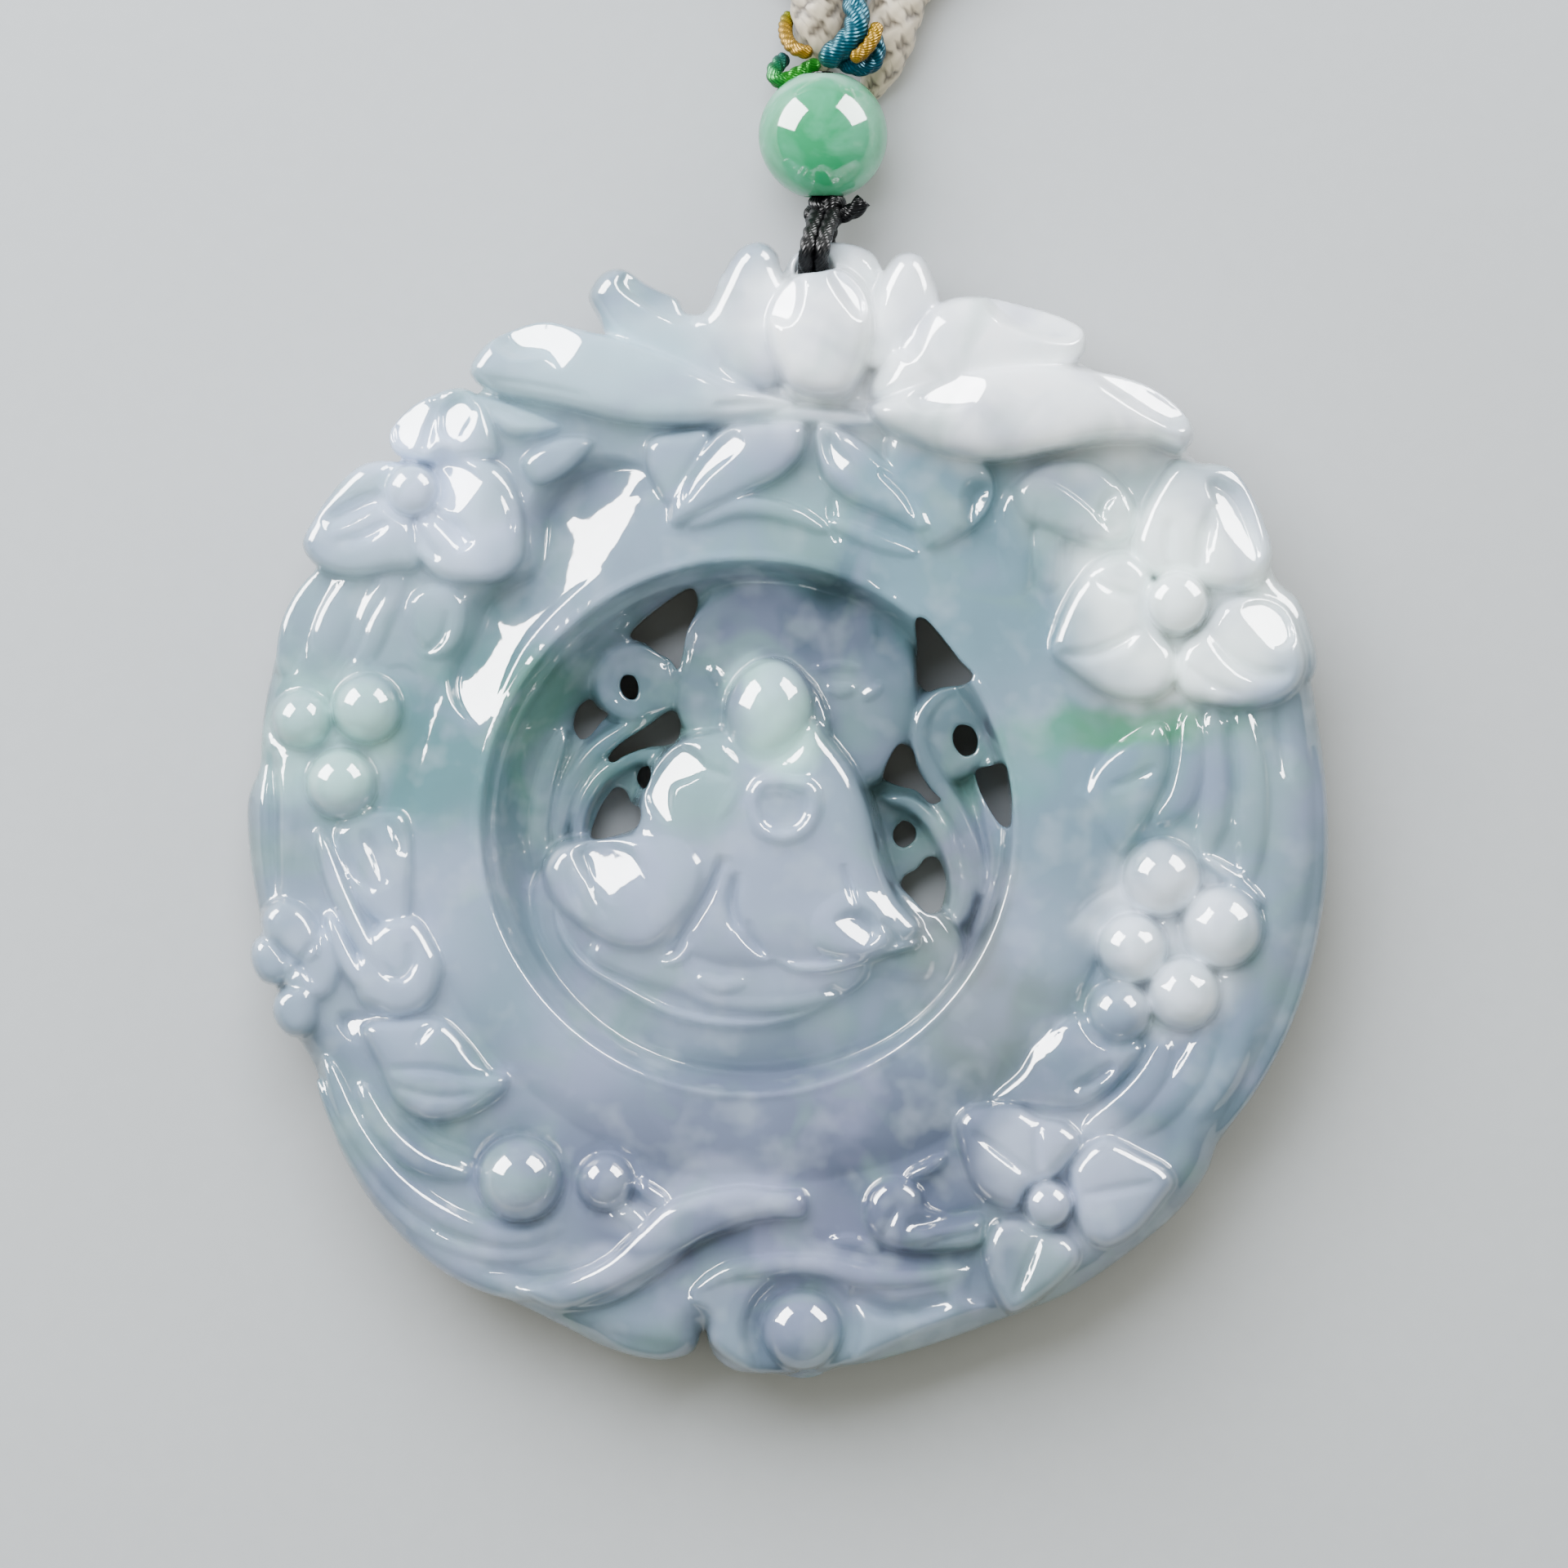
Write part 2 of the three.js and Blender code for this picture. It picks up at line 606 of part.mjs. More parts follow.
// Long folds, stems and ribbons that follow the rim
const FOLDS = [
  { line: [[-24, 13], [-25.7, 10.8], [-26.3, 8.4]], width: 1.6, z: 6.6 },
  { line: [[-22.2, 13], [-23.8, 10.8], [-24.6, 8.2]], width: 1.7, z: 6.9 },
  { line: [[-20.4, 13], [-21.7, 10.8], [-22.3, 8.4]], width: 1.6, z: 6.9 },
  { line: [[-24.8, 0], [-23.6, -4], [-22.2, -7.2], [-20.8, -8.6]], width: 1.3, z: 8 },
  { line: [[-22.6, -14], [-20.8, -17.6], [-17.8, -20.4], [-14.6, -21.8], [-11, -21.6]], width: 1.7, z: 6.9 },
  { line: [[-24.6, -13], [-23.2, -17], [-20, -20.9], [-16, -23.6], [-12.6, -24], [-9, -22.4]], width: 2.2, z: 6.3 },
  { line: [[-14.4, -25], [-10.8, -24.5], [-7.6, -22.3], [-5, -20.7], [-2, -19.9], [0.9, -19.8]], width: 2.5, z: 7.4 },
  { line: [[-9.4, -27], [-7, -26.8], [-5.2, -24.9], [-2, -23.6], [1.5, -23.2], [5, -23.7], [9.8, -24]], width: 2.4, z: 7 },
  { line: [[3.4, -25.9], [7, -26.1], [10.8, -25.2]], width: 1.6, z: 6.4 },
  { line: [[-9.6, -19.2], [-8, -19.6], [-6.6, -19.8]], width: 1.6, z: 7 },
  { line: [[6, -20.8], [8.2, -21.3], [10.4, -21.2]], width: 1.8, z: 7 },
  { line: [[21.9, 5], [22.2, 2.4], [21.4, -0.4]], width: 1.4, z: 7 },
  { line: [[24, 5.6], [24.3, 1], [24.7, -3]], width: 1.6, z: 6.9 },
  { line: [[26.2, 6.4], [26.9, 1], [26.3, -5], [24.4, -11], [20.5, -16.4]], width: 2.2, z: 6.2 },
  { line: [[24.4, -8.6], [22.6, -12], [19.2, -15.8]], width: 1.6, z: 6.9 },
  { line: [[20, -11.2], [18.6, -14], [16.2, -16]], width: 1.5, z: 7 },
  { line: [[12.2, 18.6], [12, 16.4], [12.6, 13.4]], width: 1.3, z: 7.1 },
  { line: [[14.4, 17.6], [13.8, 15.4], [13.9, 12.8]], width: 1.3, z: 7.1 },
];

// The berries, and the hearts of the flowers
const BERRIES = [
  { at: [-25.9, 5.6], radius: 1.75, z: 7.4 },
  { at: [-22.6, 6.2], radius: 1.95, z: 8.2 },
  { at: [-23.8, 2.3], radius: 1.9, z: 8.2 },
  { at: [19.9, -2.6], radius: 2.1, z: 8.2 },
  { at: [23.1, -5.4], radius: 2.2, z: 8 },
  { at: [18.3, -6.5], radius: 1.85, z: 8 },
  { at: [21.1, -8.9], radius: 2.0, z: 7.9 },
  { at: [17.6, -9.9], radius: 1.7, z: 7.9 },
  { at: [-14.3, -18.7], radius: 2.3, z: 8 },
  { at: [-9.9, -18.9], radius: 1.5, z: 7.6 },
  { at: [0.8, -26.8], radius: 2.35, z: 6.9 },
  { at: [5.8, -20.3], radius: 1.85, z: 7.6 },
  { at: [-19.9, 18], radius: 1.35, z: 9.9, sides: 7, rings: 4 },
  { at: [20.7, 11.9], radius: 1.7, z: 9.9, height: 1.2, sides: 7, rings: 4 },
  { at: [13.8, -20.1], radius: 1.25, z: 9.4, sides: 7, rings: 4 },
];

function silkHole() {
  return solidOf(tube([SILK_HOLE_FRONT, SILK_HOLE_BACK], SILK_HOLE_RADIUS, 1, 12));
}

function jadeCarving() {
  const relief = [
    ...cloudScrolls(),
    ...figure(),
    ...lotus(),
    ...SMALL_FORMS.map((form) => dome(form)),
    ...FOLDS.map((fold) => ridge({ height: 1.2, ...fold })),
    ...BERRIES.map(berry),
  ];
  const carved = joined([plaque().subtract(well()), ...relief]);
  return carved.subtract(joined([silkHole(), ...piercings()]));
}

function greenBead() {
  const mouth = Math.acos(BEAD_BORE / BEAD_RADIUS);
  const arc = Array.from({ length: BEAD_ARC_STEPS + 1 }, (_, i) => {
    const angle = mouth * ((2 * i) / BEAD_ARC_STEPS - 1);
    return new THREE.Vector2(BEAD_RADIUS * Math.cos(angle), BEAD_RADIUS * Math.sin(angle));
  });
  const bead = new THREE.LatheGeometry([...arc, arc[0]], BEAD_SEGMENTS);
  return solidOf(bead.translate(BEAD_X, BEAD_Y, BEAD_RADIUS));
}

// One length of black silk: the loop, its knot and tail, and the strand up through the bead
function silkLoop() {
  const knot = new THREE.SphereGeometry(SILK_KNOT_RADIUS, 8, 6).translate(...SILK_KNOT);
  return joined([
    solidOf(knot),
    solidOf(tube(SILK_LOOP, SILK_RADIUS, 18, SILK_SIDES)),
    solidOf(tube(SILK_TAIL, SILK_RADIUS, 2, SILK_SIDES)),
    solidOf(tube(SILK_STRAND, SILK_RADIUS, 4, SILK_SIDES)),
  ]);
}

function arm(route, steps) {
  return solidOf(tube(route.map(([x, y]) => [x, y, IVORY_Z]), IVORY_RADIUS, steps));
}

function coil() {
  const outer = COIL_OUTER_TURN + IVORY_RADIUS;
  const inner = COIL_INNER_TURN - IVORY_RADIUS;
  const top = IVORY_Z + IVORY_RADIUS + 2 * IVORY_RADIUS * (COIL_LAYERS - 1);
  const corner = IVORY_RADIUS / 2;
  const profile = [
    [inner, 0], [outer, 0], [outer, top - corner], [outer - corner, top], [inner + corner, top],
    [inner, top - corner], [inner, 0],
  ];
  return solidOf(turned(profile, COIL_SEGMENTS).translate(COIL_X, COIL_Y, 0));
}

export default new THREE.Group().add(
  meshOf("jade_carving", jadeCarving(), jade),
  meshOf("green_bead", greenBead(), greenJade),
  meshOf("black_silk_loop", silkLoop(), blackSilk),
  meshOf("necklace_cord_left", arm(LEFT_ARM, 3), ivoryBraid),
  meshOf("necklace_cord_right", arm(RIGHT_ARM, 4), ivoryBraid),
  meshOf("necklace_cord_coil", coil(), ivoryBraid),
  meshOf("teal_cord_wrap", solidOf(tube(TEAL_ROUTE, TEAL_RADIUS, 9, WRAP_SIDES)), tealSilk),
  meshOf("gold_thread_wrap", solidOf(tube(GOLD_ROUTE, GOLD_RADIUS, 4, WRAP_SIDES)), goldSilk),
);
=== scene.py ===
import logging
import math
from dataclasses import dataclass
from enum import Enum
from typing import Any, Callable, Sequence

import bpy
import numpy as np
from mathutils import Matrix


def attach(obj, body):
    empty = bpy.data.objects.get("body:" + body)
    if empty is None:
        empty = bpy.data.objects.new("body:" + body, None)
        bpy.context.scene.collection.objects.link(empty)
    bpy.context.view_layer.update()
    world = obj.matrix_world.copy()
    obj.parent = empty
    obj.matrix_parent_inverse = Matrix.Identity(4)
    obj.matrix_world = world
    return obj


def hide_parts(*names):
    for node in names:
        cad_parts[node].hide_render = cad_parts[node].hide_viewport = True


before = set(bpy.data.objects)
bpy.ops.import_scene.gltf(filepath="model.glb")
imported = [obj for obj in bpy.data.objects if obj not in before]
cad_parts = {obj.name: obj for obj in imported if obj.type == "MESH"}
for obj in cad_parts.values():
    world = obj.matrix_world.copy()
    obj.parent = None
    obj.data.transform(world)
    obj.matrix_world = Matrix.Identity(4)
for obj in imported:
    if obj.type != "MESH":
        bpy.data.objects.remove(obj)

import openvdb
from mathutils import Vector

LOG = logging.getLogger("jade_pendant")
MM = 0.001
Point2 = tuple[float, float]
Point3 = tuple[float, float, float]
Line2 = tuple[Point2, ...]
Window = tuple[slice, slice]


# Numbers and lines


def linear(colour: str) -> tuple[float, float, float, float]:
    """Turns an sRGB hex colour into linear light.

    Args:
        colour: the colour as "#rrggbb".

    Returns:
        Linear red, green and blue, with an alpha of one.
    """
    channels = [int(colour[i : i + 2], 16) / 255 for i in (1, 3, 5)]
    light = [c / 12.92 if c <= 0.04045 else ((c + 0.055) / 1.055) ** 2.4 for c in channels]
    return (light[0], light[1], light[2], 1.0)


def curve_through(points: Sequence[Sequence[float]], step: float, closed: bool = False) -> np.ndarray:
    """Draws a smooth line through points, as a centripetal Catmull-Rom curve.

    Args:
        points: the points, two or three numbers each.
        step: how far apart the line's points are, about.
        closed: whether the line comes back to its first point.

    Returns:
        The line's points; a closed line doesn't repeat its first.
    """
    given = np.asarray(points, dtype=float)
    if closed:
        around = np.vstack([given[-1], given, given[:2]])
    else:
        around = np.vstack([2 * given[0] - given[1], given, 2 * given[-1] - given[-2]])
    pieces = []
    for before, start, end, after in zip(around, around[1:], around[2:], around[3:]):
        gaps = (start - before, end - start, after - end)
        spans = [max(np.linalg.norm(gap), 1e-6) ** 0.5 for gap in gaps]
        count = max(1, round(float(np.linalg.norm(end - start)) / step))
        share = np.linspace(0, 1, count, endpoint=False)[:, None]
        straight = (end - start) / spans[1]
        leave = (start - before) / spans[0] - (end - before) / (spans[0] + spans[1]) + straight
        arrive = straight - (after - start) / (spans[1] + spans[2]) + (after - end) / spans[2]
        leave, arrive = leave * spans[1], arrive * spans[1]
        pieces.append(
            start
            + leave * share
            + (3 * (end - start) - 2 * leave - arrive) * share**2
            + (2 * (start - end) + leave + arrive) * share**3
        )
    line = np.vstack(pieces)
    return line if closed else np.vstack([line, given[-1]])


def smooth_max(first: np.ndarray, second: np.ndarray, blend: float) -> np.ndarray:
    """Takes the larger of two fields, with the crease between them filled in over `blend`."""
    overlap = np.maximum(blend - np.abs(first - second), 0) / blend
    return np.maximum(first, second) + overlap**2 * (blend / 4)


def smooth_min(first: np.ndarray, second: np.ndarray, blend: float) -> np.ndarray:
    """Takes the smaller of two fields, with the edge between them rounded over `blend`."""
    return -smooth_max(-first, -second, blend)


def dome(share: np.ndarray, roundness: float = 2.0) -> np.ndarray:
    """Rises like the side of a pebble, from 0 at its edge to 1 where `share` reaches 1."""
    rest = 1 - np.clip(share, 0, 1)
    return (1 - rest**roundness) ** (1 / roundness)


def ends_taper(share: np.ndarray, fullness: float) -> np.ndarray:
    """Falls to nothing at both ends of a line, fuller for a smaller `fullness`."""
    tip = 0.004
    return np.sin(np.pi * np.clip(share, tip, 1 - tip)) ** fullness


def loop_distance(x: np.ndarray, y: np.ndarray, loop: np.ndarray) -> np.ndarray:
    """Measures from each place to a closed outline.

    Args:
        x, y: the places.
        loop: the outline's points.

    Returns:
        The distance, negative inside the outline.
    """
    nearest = np.full(x.shape, np.inf)
    inside = np.zeros(x.shape, dtype=bool)
    for (ax, ay), (bx, by) in zip(loop, np.roll(loop, -1, axis=0)):
        dx, dy = bx - ax, by - ay
        share = np.clip(((x - ax) * dx + (y - ay) * dy) / (dx * dx + dy * dy + 1e-12), 0, 1)
        nearest = np.minimum(nearest, (x - ax - share * dx) ** 2 + (y - ay - share * dy) ** 2)
        if ay != by:
            crosses = (ay > y) != (by > y)
            inside ^= crosses & (x < ax + (y - ay) / (by - ay) * dx)
    return np.where(inside, -1, 1) * np.sqrt(nearest)


def line_distance(
    x: np.ndarray, y: np.ndarray, line: np.ndarray
) -> tuple[np.ndarray, np.ndarray, np.ndarray]:
    """Measures from each place to an open line.

    Args:
        x, y: the places.
        line: the line's points.

    Returns:
        The distance, the share of the line's length at its nearest point, and the side of the line: 1 for
        its left and -1 for its right.
    """
    nearest = np.full(x.shape, np.inf)
    along = np.zeros(x.shape)
    side = np.ones(x.shape)
    lengths = np.linalg.norm(np.diff(line, axis=0), axis=1)
    total = lengths.sum()
    passed = 0.0
    for (ax, ay), (bx, by), length in zip(line, line[1:], lengths):
        dx, dy = bx - ax, by - ay
        share = np.clip(((x - ax) * dx + (y - ay) * dy) / (length**2 + 1e-12), 0, 1)
        gap = (x - ax - share * dx) ** 2 + (y - ay - share * dy) ** 2
        closer = gap < nearest
        nearest = np.where(closer, gap, nearest)
        along = np.where(closer, (passed + share * length) / total, along)
        side = np.where(closer, np.sign(dx * (y - ay) - dy * (x - ax) + 1e-12), side)
        passed += length
    return np.sqrt(nearest), along, side


# The stone and the cuts that shape it


class Stone:
    """The stone while it is carved, as maps over a fine grid, in millimetres.

    `face` and `back` are heights. `plan` and `pierced` are distances in plan from the outline and from the
    openings, negative inside them.
    """

    def __init__(self, low: Point2, high: Point2, pitch: float) -> None:
        """Lays out the grid.

        Args:
            low, high: the corners of the area in plan.
            pitch: the grid's spacing.
        """
        self.pitch = pitch
        self.low = low
        across = np.arange(low[0], high[0], pitch)
        along = np.arange(low[1], high[1], pitch)
        self.x, self.y = np.meshgrid(across, along, indexing="ij")
        under_all = -4.0
        far_off = 8.0
        self.face = np.full(self.x.shape, under_all)
        self.back = np.zeros(self.x.shape)
        self.plan = np.full(self.x.shape, far_off)
        self.pierced = np.full(self.x.shape, far_off)

    def window(self, points: np.ndarray, margin: float) -> Window:
        """Finds the part of the grid within a margin of some points.

        Args:
            points: the points, in plan.
            margin: how far round them the part reaches.

        Returns:
            The slices of that part.
        """
        first = (points.min(axis=0) - margin - self.low) / self.pitch
        last = (points.max(axis=0) + margin - self.low) / self.pitch
        limits = self.x.shape
        spans = [slice(max(0, int(first[i])), min(limits[i], int(last[i]) + 2)) for i in (0, 1)]
        return (spans[0], spans[1])

    def add(self, area: Window, heights: np.ndarray, distance: np.ndarray, blend: float) -> None:
        """Leaves a form standing: the face rises to `heights`, and the stone's outline takes the form in."""
        self.face[area] = smooth_max(self.face[area], heights, blend)
        self.plan[area] = np.minimum(self.plan[area], distance)

    def polish(self, passes: int) -> None:
        """Rounds every edge a little, as buffing does.

        Args:
            passes: how often the face is gone over.
        """
        for _ in range(passes):
            for axis in (0, 1):
                before = np.roll(self.face, 1, axis=axis)
                after = np.roll(self.face, -1, axis=axis)
                self.face = self.face / 2 + (before + after) / 4

    def solid(self, low_z: float, high_z: float) -> tuple[np.ndarray, np.ndarray]:
        """Lifts the maps into a block of signed distances, negative inside the stone.

        Args:
            low_z, high_z: the block's lowest and highest level.

        Returns:
            The distances, and the block's levels.
        """
        levels = np.arange(low_z, high_z, self.pitch, dtype=np.float32)
        steepest = 5.0
        rounding = 0.22

        def lean(heights: np.ndarray) -> np.ndarray:
            """Gives how many times longer a height difference is than the distance to the surface."""
            slopes = np.gradient(heights, self.pitch)
            squared = np.minimum(slopes[0] ** 2 + slopes[1] ** 2, steepest**2)
            return np.sqrt(1 + squared).astype(np.float32)

        above = (levels - self.face[..., None].astype(np.float32)) / lean(self.face)[..., None]
        below = (self.back[..., None].astype(np.float32) - levels) / lean(self.back)[..., None]
        block = smooth_max(above, below, rounding)
        block = smooth_max(block, self.plan[..., None].astype(np.float32), rounding)
        return smooth_max(block, -self.pierced[..., None].astype(np.float32), rounding), levels


@dataclass(frozen=True)
class Petal:
    """A petal, leaf or body with a domed face over a closed outline.

    Its face rises from `rim` to `crown`, over `swell` millimetres in from its edge, and `crisp` is the share
    of the rise that is made right at the edge. `lean` tilts it, and `hollow` dishes it inside a `lip`.
    """

    outline: Line2
    rim: float
    crown: float
    swell: float = 2.5
    lean: Point2 = (0.0, 0.0)
    hollow: float = 0.0
    lip: float = 0.6
    wall: float = 7.0
    blend: float = 0.1
    roundness: float = 2.7
    crisp: float = 0.45

    def carve(self, stone: Stone) -> None:
        """Leaves the petal standing: it rises quickly at its edge, and then gently to its crown.

        Args:
            stone: the stone that is carved.
        """
        highest_edge = 0.8
        edge_width = 0.7
        loop = curve_through(self.outline, step=0.3, closed=True)
        area = stone.window(loop, margin=2.5)
        x, y = stone.x[area], stone.y[area]
        distance = loop_distance(x, y, loop)
        middle = loop.mean(axis=0)
        rise = self.crown - self.rim
        edge = min(self.crisp * rise, highest_edge)
        heights = self.rim + edge * dome(-distance / edge_width)
        heights = heights + (rise - edge) * dome(-distance / self.swell, self.roundness)
        heights = heights - self.wall * np.maximum(distance, 0)
        heights = heights - self.hollow * dome((-distance - self.lip) / self.swell)
        heights = heights + self.lean[0] * (x - middle[0]) + self.lean[1] * (y - middle[1])
        stone.add(area, heights, distance, self.blend)


@dataclass(frozen=True)
class Ridge:
    """A fold, stem or ribbon: a rounded ridge along a line, drawn in at its ends.

    Its foot is at `z` and its crest `height` above that, and `wall` is how steeply it falls beside it.
    """

    line: Line2
    width: float
    z: float
    height: float = 1.2
    fullness: float = 0.3
    wall: float = 3.5
    blend: float = 0.12
    roundness: float = 2.3

    def carve(self, stone: Stone) -> None:
        """Leaves the ridge standing.

        Args:
            stone: the stone that is carved.
        """
        thinnest = 0.05
        line = curve_through(self.line, step=0.4)
        area = stone.window(line, margin=self.width / 2 + 2)
        distance, along, _ = line_distance(stone.x[area], stone.y[area], line)
        taper = ends_taper(along, self.fullness)
        half = self.width / 2 * taper
        gap = distance - half
        heights = self.z + self.height * dome(-gap / np.maximum(half, thinnest), self.roundness) * taper
        heights = heights - self.wall * np.maximum(gap, 0)
        stone.add(area, heights, gap, self.blend)


@dataclass(frozen=True)
class Berry:
    """A round or oval bead of stone with a fine groove round its foot.

    A `radius_y` or `height` of nothing means the same as `radius`, and `lean` turns an oval one, in radians.
    """

    at: Point2
    radius: float
    z: float
    radius_y: float = 0.0
    lean: float = 0.0
    height: float = 0.0
    groove: float = 0.35

    def carve(self, stone: Stone) -> None:
        """Cuts the groove, then leaves the berry standing in it.

        Args:
            stone: the stone that is carved.
        """
        groove_width = 0.4
        steepest = 0.985
        foot_wall = 14
        radius_y = self.radius_y or self.radius
        height = self.height or self.radius
        centre = np.array([self.at])
        area = stone.window(centre, margin=max(self.radius, radius_y) + 1.5)
        across, along = stone.x[area] - self.at[0], stone.y[area] - self.at[1]
        turned_x = across * math.cos(self.lean) + along * math.sin(self.lean)
        turned_y = along * math.cos(self.lean) - across * math.sin(self.lean)
        share = np.hypot(turned_x / self.radius, turned_y / radius_y)
        distance = (share - 1) * min(self.radius, radius_y)
        stone.face[area] -= self.groove * np.exp(-((np.maximum(distance, 0) / groove_width) ** 2))
        heights = self.z + height * np.sqrt(1 - np.minimum(share, steepest) ** 2)
        heights = heights - foot_wall * np.maximum(distance + (1 - steepest) * self.radius, 0)
        stone.add(area, heights, distance, blend=0.06)


class Side(Enum):
    """Which side of a line a groove falls away on."""

    BOTH = 0
    LEFT = 1
    RIGHT = -1


@dataclass(frozen=True)
class Groove:
    """An engraved line, or the step beside an overlapping edge, deepest halfway along."""

    line: Line2
    width: float
    depth: float
    side: Side = Side.BOTH
    fullness: float = 0.5

    def carve(self, stone: Stone) -> None:
        """Cuts the line into the face.

        Args:
            stone: the stone that is carved.
        """
        softening = 1.5
        line = curve_through(self.line, step=0.3)
        area = stone.window(line, margin=2.5 * self.width + 0.3)
        distance, along, side = line_distance(stone.x[area], stone.y[area], line)
        if self.side is Side.BOTH:
            section = np.exp(-((distance / (self.width / 2)) ** 2))
        else:
            fall = np.exp(-distance / self.width)
            edge = np.clip(distance / stone.pitch / softening, 0, 1)
            section = np.where(side == self.side.value, fall * edge, 0)
        beyond = (along <= 0) | (along >= 1)
        depth = np.where(beyond, 0, self.depth * ends_taper(along, self.fullness))
        stone.face[area] -= depth * section


@dataclass(frozen=True)
class Facet:
    """A flat ground into the face: `z` is its height at `at`, and `slope` its rise for each millimetre.

    Past its outline the flat turns up by `wall` for each millimetre.
    """

    outline: Line2
    at: Point2
    z: float
    slope: Point2
    wall: float = 2.0
    blend: float = 0.3

    def carve(self, stone: Stone) -> None:
        """Grinds the face down to the facet's plane.

        Args:
            stone: the stone that is carved.
        """
        loop = curve_through(self.outline, step=0.4, closed=True)
        area = stone.window(loop, margin=1.5)
        x, y = stone.x[area], stone.y[area]
        distance = loop_distance(x, y, loop)
        plane = self.z + self.slope[0] * (x - self.at[0]) + self.slope[1] * (y - self.at[1])
        plane = plane + self.wall * np.maximum(distance, 0)
        stone.face[area] = smooth_min(stone.face[area], plane, self.blend)


@dataclass(frozen=True)
class Piercing:
    """A hole right through the stone."""

    outline: Line2

    def carve(self, stone: Stone) -> None:
        """Marks the hole on the stone's map.

        Args:
            stone: the stone that is carved.
        """
        loop = curve_through(self.outline, step=0.2, closed=True)
        area = stone.window(loop, margin=1.5)
        distance = loop_distance(stone.x[area], stone.y[area], loop)
        stone.pierced[area] = np.minimum(stone.pierced[area], distance)


Cut = Petal | Ridge | Berry | Groove | Facet | Piercing

PLATE_OUTLINE: Line2 = (
    (10.0, 27.3), (15.0, 25.2), (20.0, 21.3), (24.4, 16.2), (27.4, 9.6), (28.0, 7.8), (28.7, 3.0),
    (28.9, 0.0), (28.8, -3.0), (28.1, -6.6), (26.8, -10.5), (25.0, -14.0), (22.9, -17.2), (22.6, -18.2),
    (21.0, -20.5), (17.9, -23.1), (15.0, -25.0), (11.5, -26.4), (7.0, -28.0), (4.0, -28.8), (0.0, -29.3),
    (-3.0, -29.1), (-4.1, -28.2), (-4.5, -26.9), (-5.0, -28.1), (-6.6, -28.6), (-9.5, -28.0),
    (-12.0, -26.8), (-16.0, -24.7), (-18.0, -23.2), (-20.0, -21.3), (-22.0, -18.6), (-24.0, -15.5),
    (-25.2, -13.1), (-26.3, -11.2), (-27.6, -8.0), (-28.3, -4.8), (-28.9, -1.0), (-28.9, 1.6), (-28.3, 3.2),
    (-28.2, 5.0), (-27.7, 8.0), (-26.5, 11.0), (-24.6, 14.8), (-20.0, 20.2), (-14.0, 24.8), (-8.0, 27.3),
)

PIERCINGS: tuple[Piercing, ...] = (
    Piercing(((-5.1, 12.7), (-6.2, 12.2), (-8.45, 10.15), (-7.6, 9.8), (-7.0, 9.3), (-6.3, 8.9),
              (-5.9, 8.4), (-5.4, 10.4), (-4.85, 11.9))),
    Piercing(((-9.0, 7.5), (-8.7, 6.9), (-8.2, 6.8), (-8.0, 7.4), (-8.3, 8.05), (-8.8, 8.05))),
    Piercing(((-11.5, 5.3), (-11.2, 6.4), (-10.6, 6.8), (-10.2, 6.3), (-9.7, 6.0), (-10.1, 5.5),
              (-10.7, 4.8), (-11.1, 4.65))),
    Piercing(((-9.65, 3.6), (-9.0, 4.4), (-7.6, 5.3), (-6.2, 6.15), (-5.8, 5.5), (-6.05, 4.5), (-7.5, 4.25),
              (-8.8, 3.75), (-9.4, 3.4))),
    Piercing(((-8.1, 2.5), (-7.9, 3.1), (-7.5, 3.2), (-7.35, 2.6), (-7.7, 2.0))),
    Piercing(((-10.5, -0.6), (-10.3, 0.5), (-9.7, 1.6), (-9.2, 2.1), (-8.7, 1.9), (-8.4, 1.2), (-7.9, 0.9),
              (-8.0, 0.1), (-9.0, -0.4))),
    Piercing(((6.85, 11.1), (7.2, 11.1), (8.0, 10.3), (9.1, 8.9), (9.85, 8.0), (9.4, 7.6), (8.2, 7.45),
              (7.4, 7.25), (7.0, 7.8), (6.95, 9.4))),
    Piercing(((5.15, 2.6), (5.4, 3.6), (6.0, 4.4), (6.6, 4.1), (7.0, 2.9), (7.7, 1.9), (8.2, 1.4),
              (7.7, 1.2), (6.9, 1.9), (6.0, 2.15))),
    Piercing(((8.8, 4.8), (9.1, 5.4), (9.8, 5.3), (10.15, 4.6), (9.95, 3.9), (9.4, 3.75), (8.95, 4.2))),
    Piercing(((10.1, 3.0), (10.7, 3.2), (11.5, 3.3), (11.8, 2.2), (11.9, 0.9), (11.75, -0.05), (11.35, 0.1),
              (10.6, 1.2), (10.15, 2.3))),
    Piercing(((5.65, -0.3), (6.2, 0.3), (6.8, -0.1), (6.8, -0.7), (6.2, -1.15), (5.75, -0.9))),
    Piercing(((7.4, -1.7), (7.9, -1.65), (8.3, -2.3), (8.45, -3.3), (8.1, -4.5), (7.5, -4.65), (6.7, -3.9),
              (6.1, -3.2), (6.2, -2.7), (6.9, -2.3))),
)

RING_FLAT = Facet(
    ((-17.6, 7.2), (-16.4, 10.8), (-15.4, 12.2), (-13.2, 13.6), (-12.6, 16.6), (-10.6, 18.6), (-7.8, 19.0),
     (-6.8, 17.0), (-4.8, 15.6), (-7.6, 14.8), (-11.4, 12.6), (-14.2, 9.8), (-16.4, 5.4)),
    (-11.5, 12.5), 7.6, (0.52, -0.40),
)

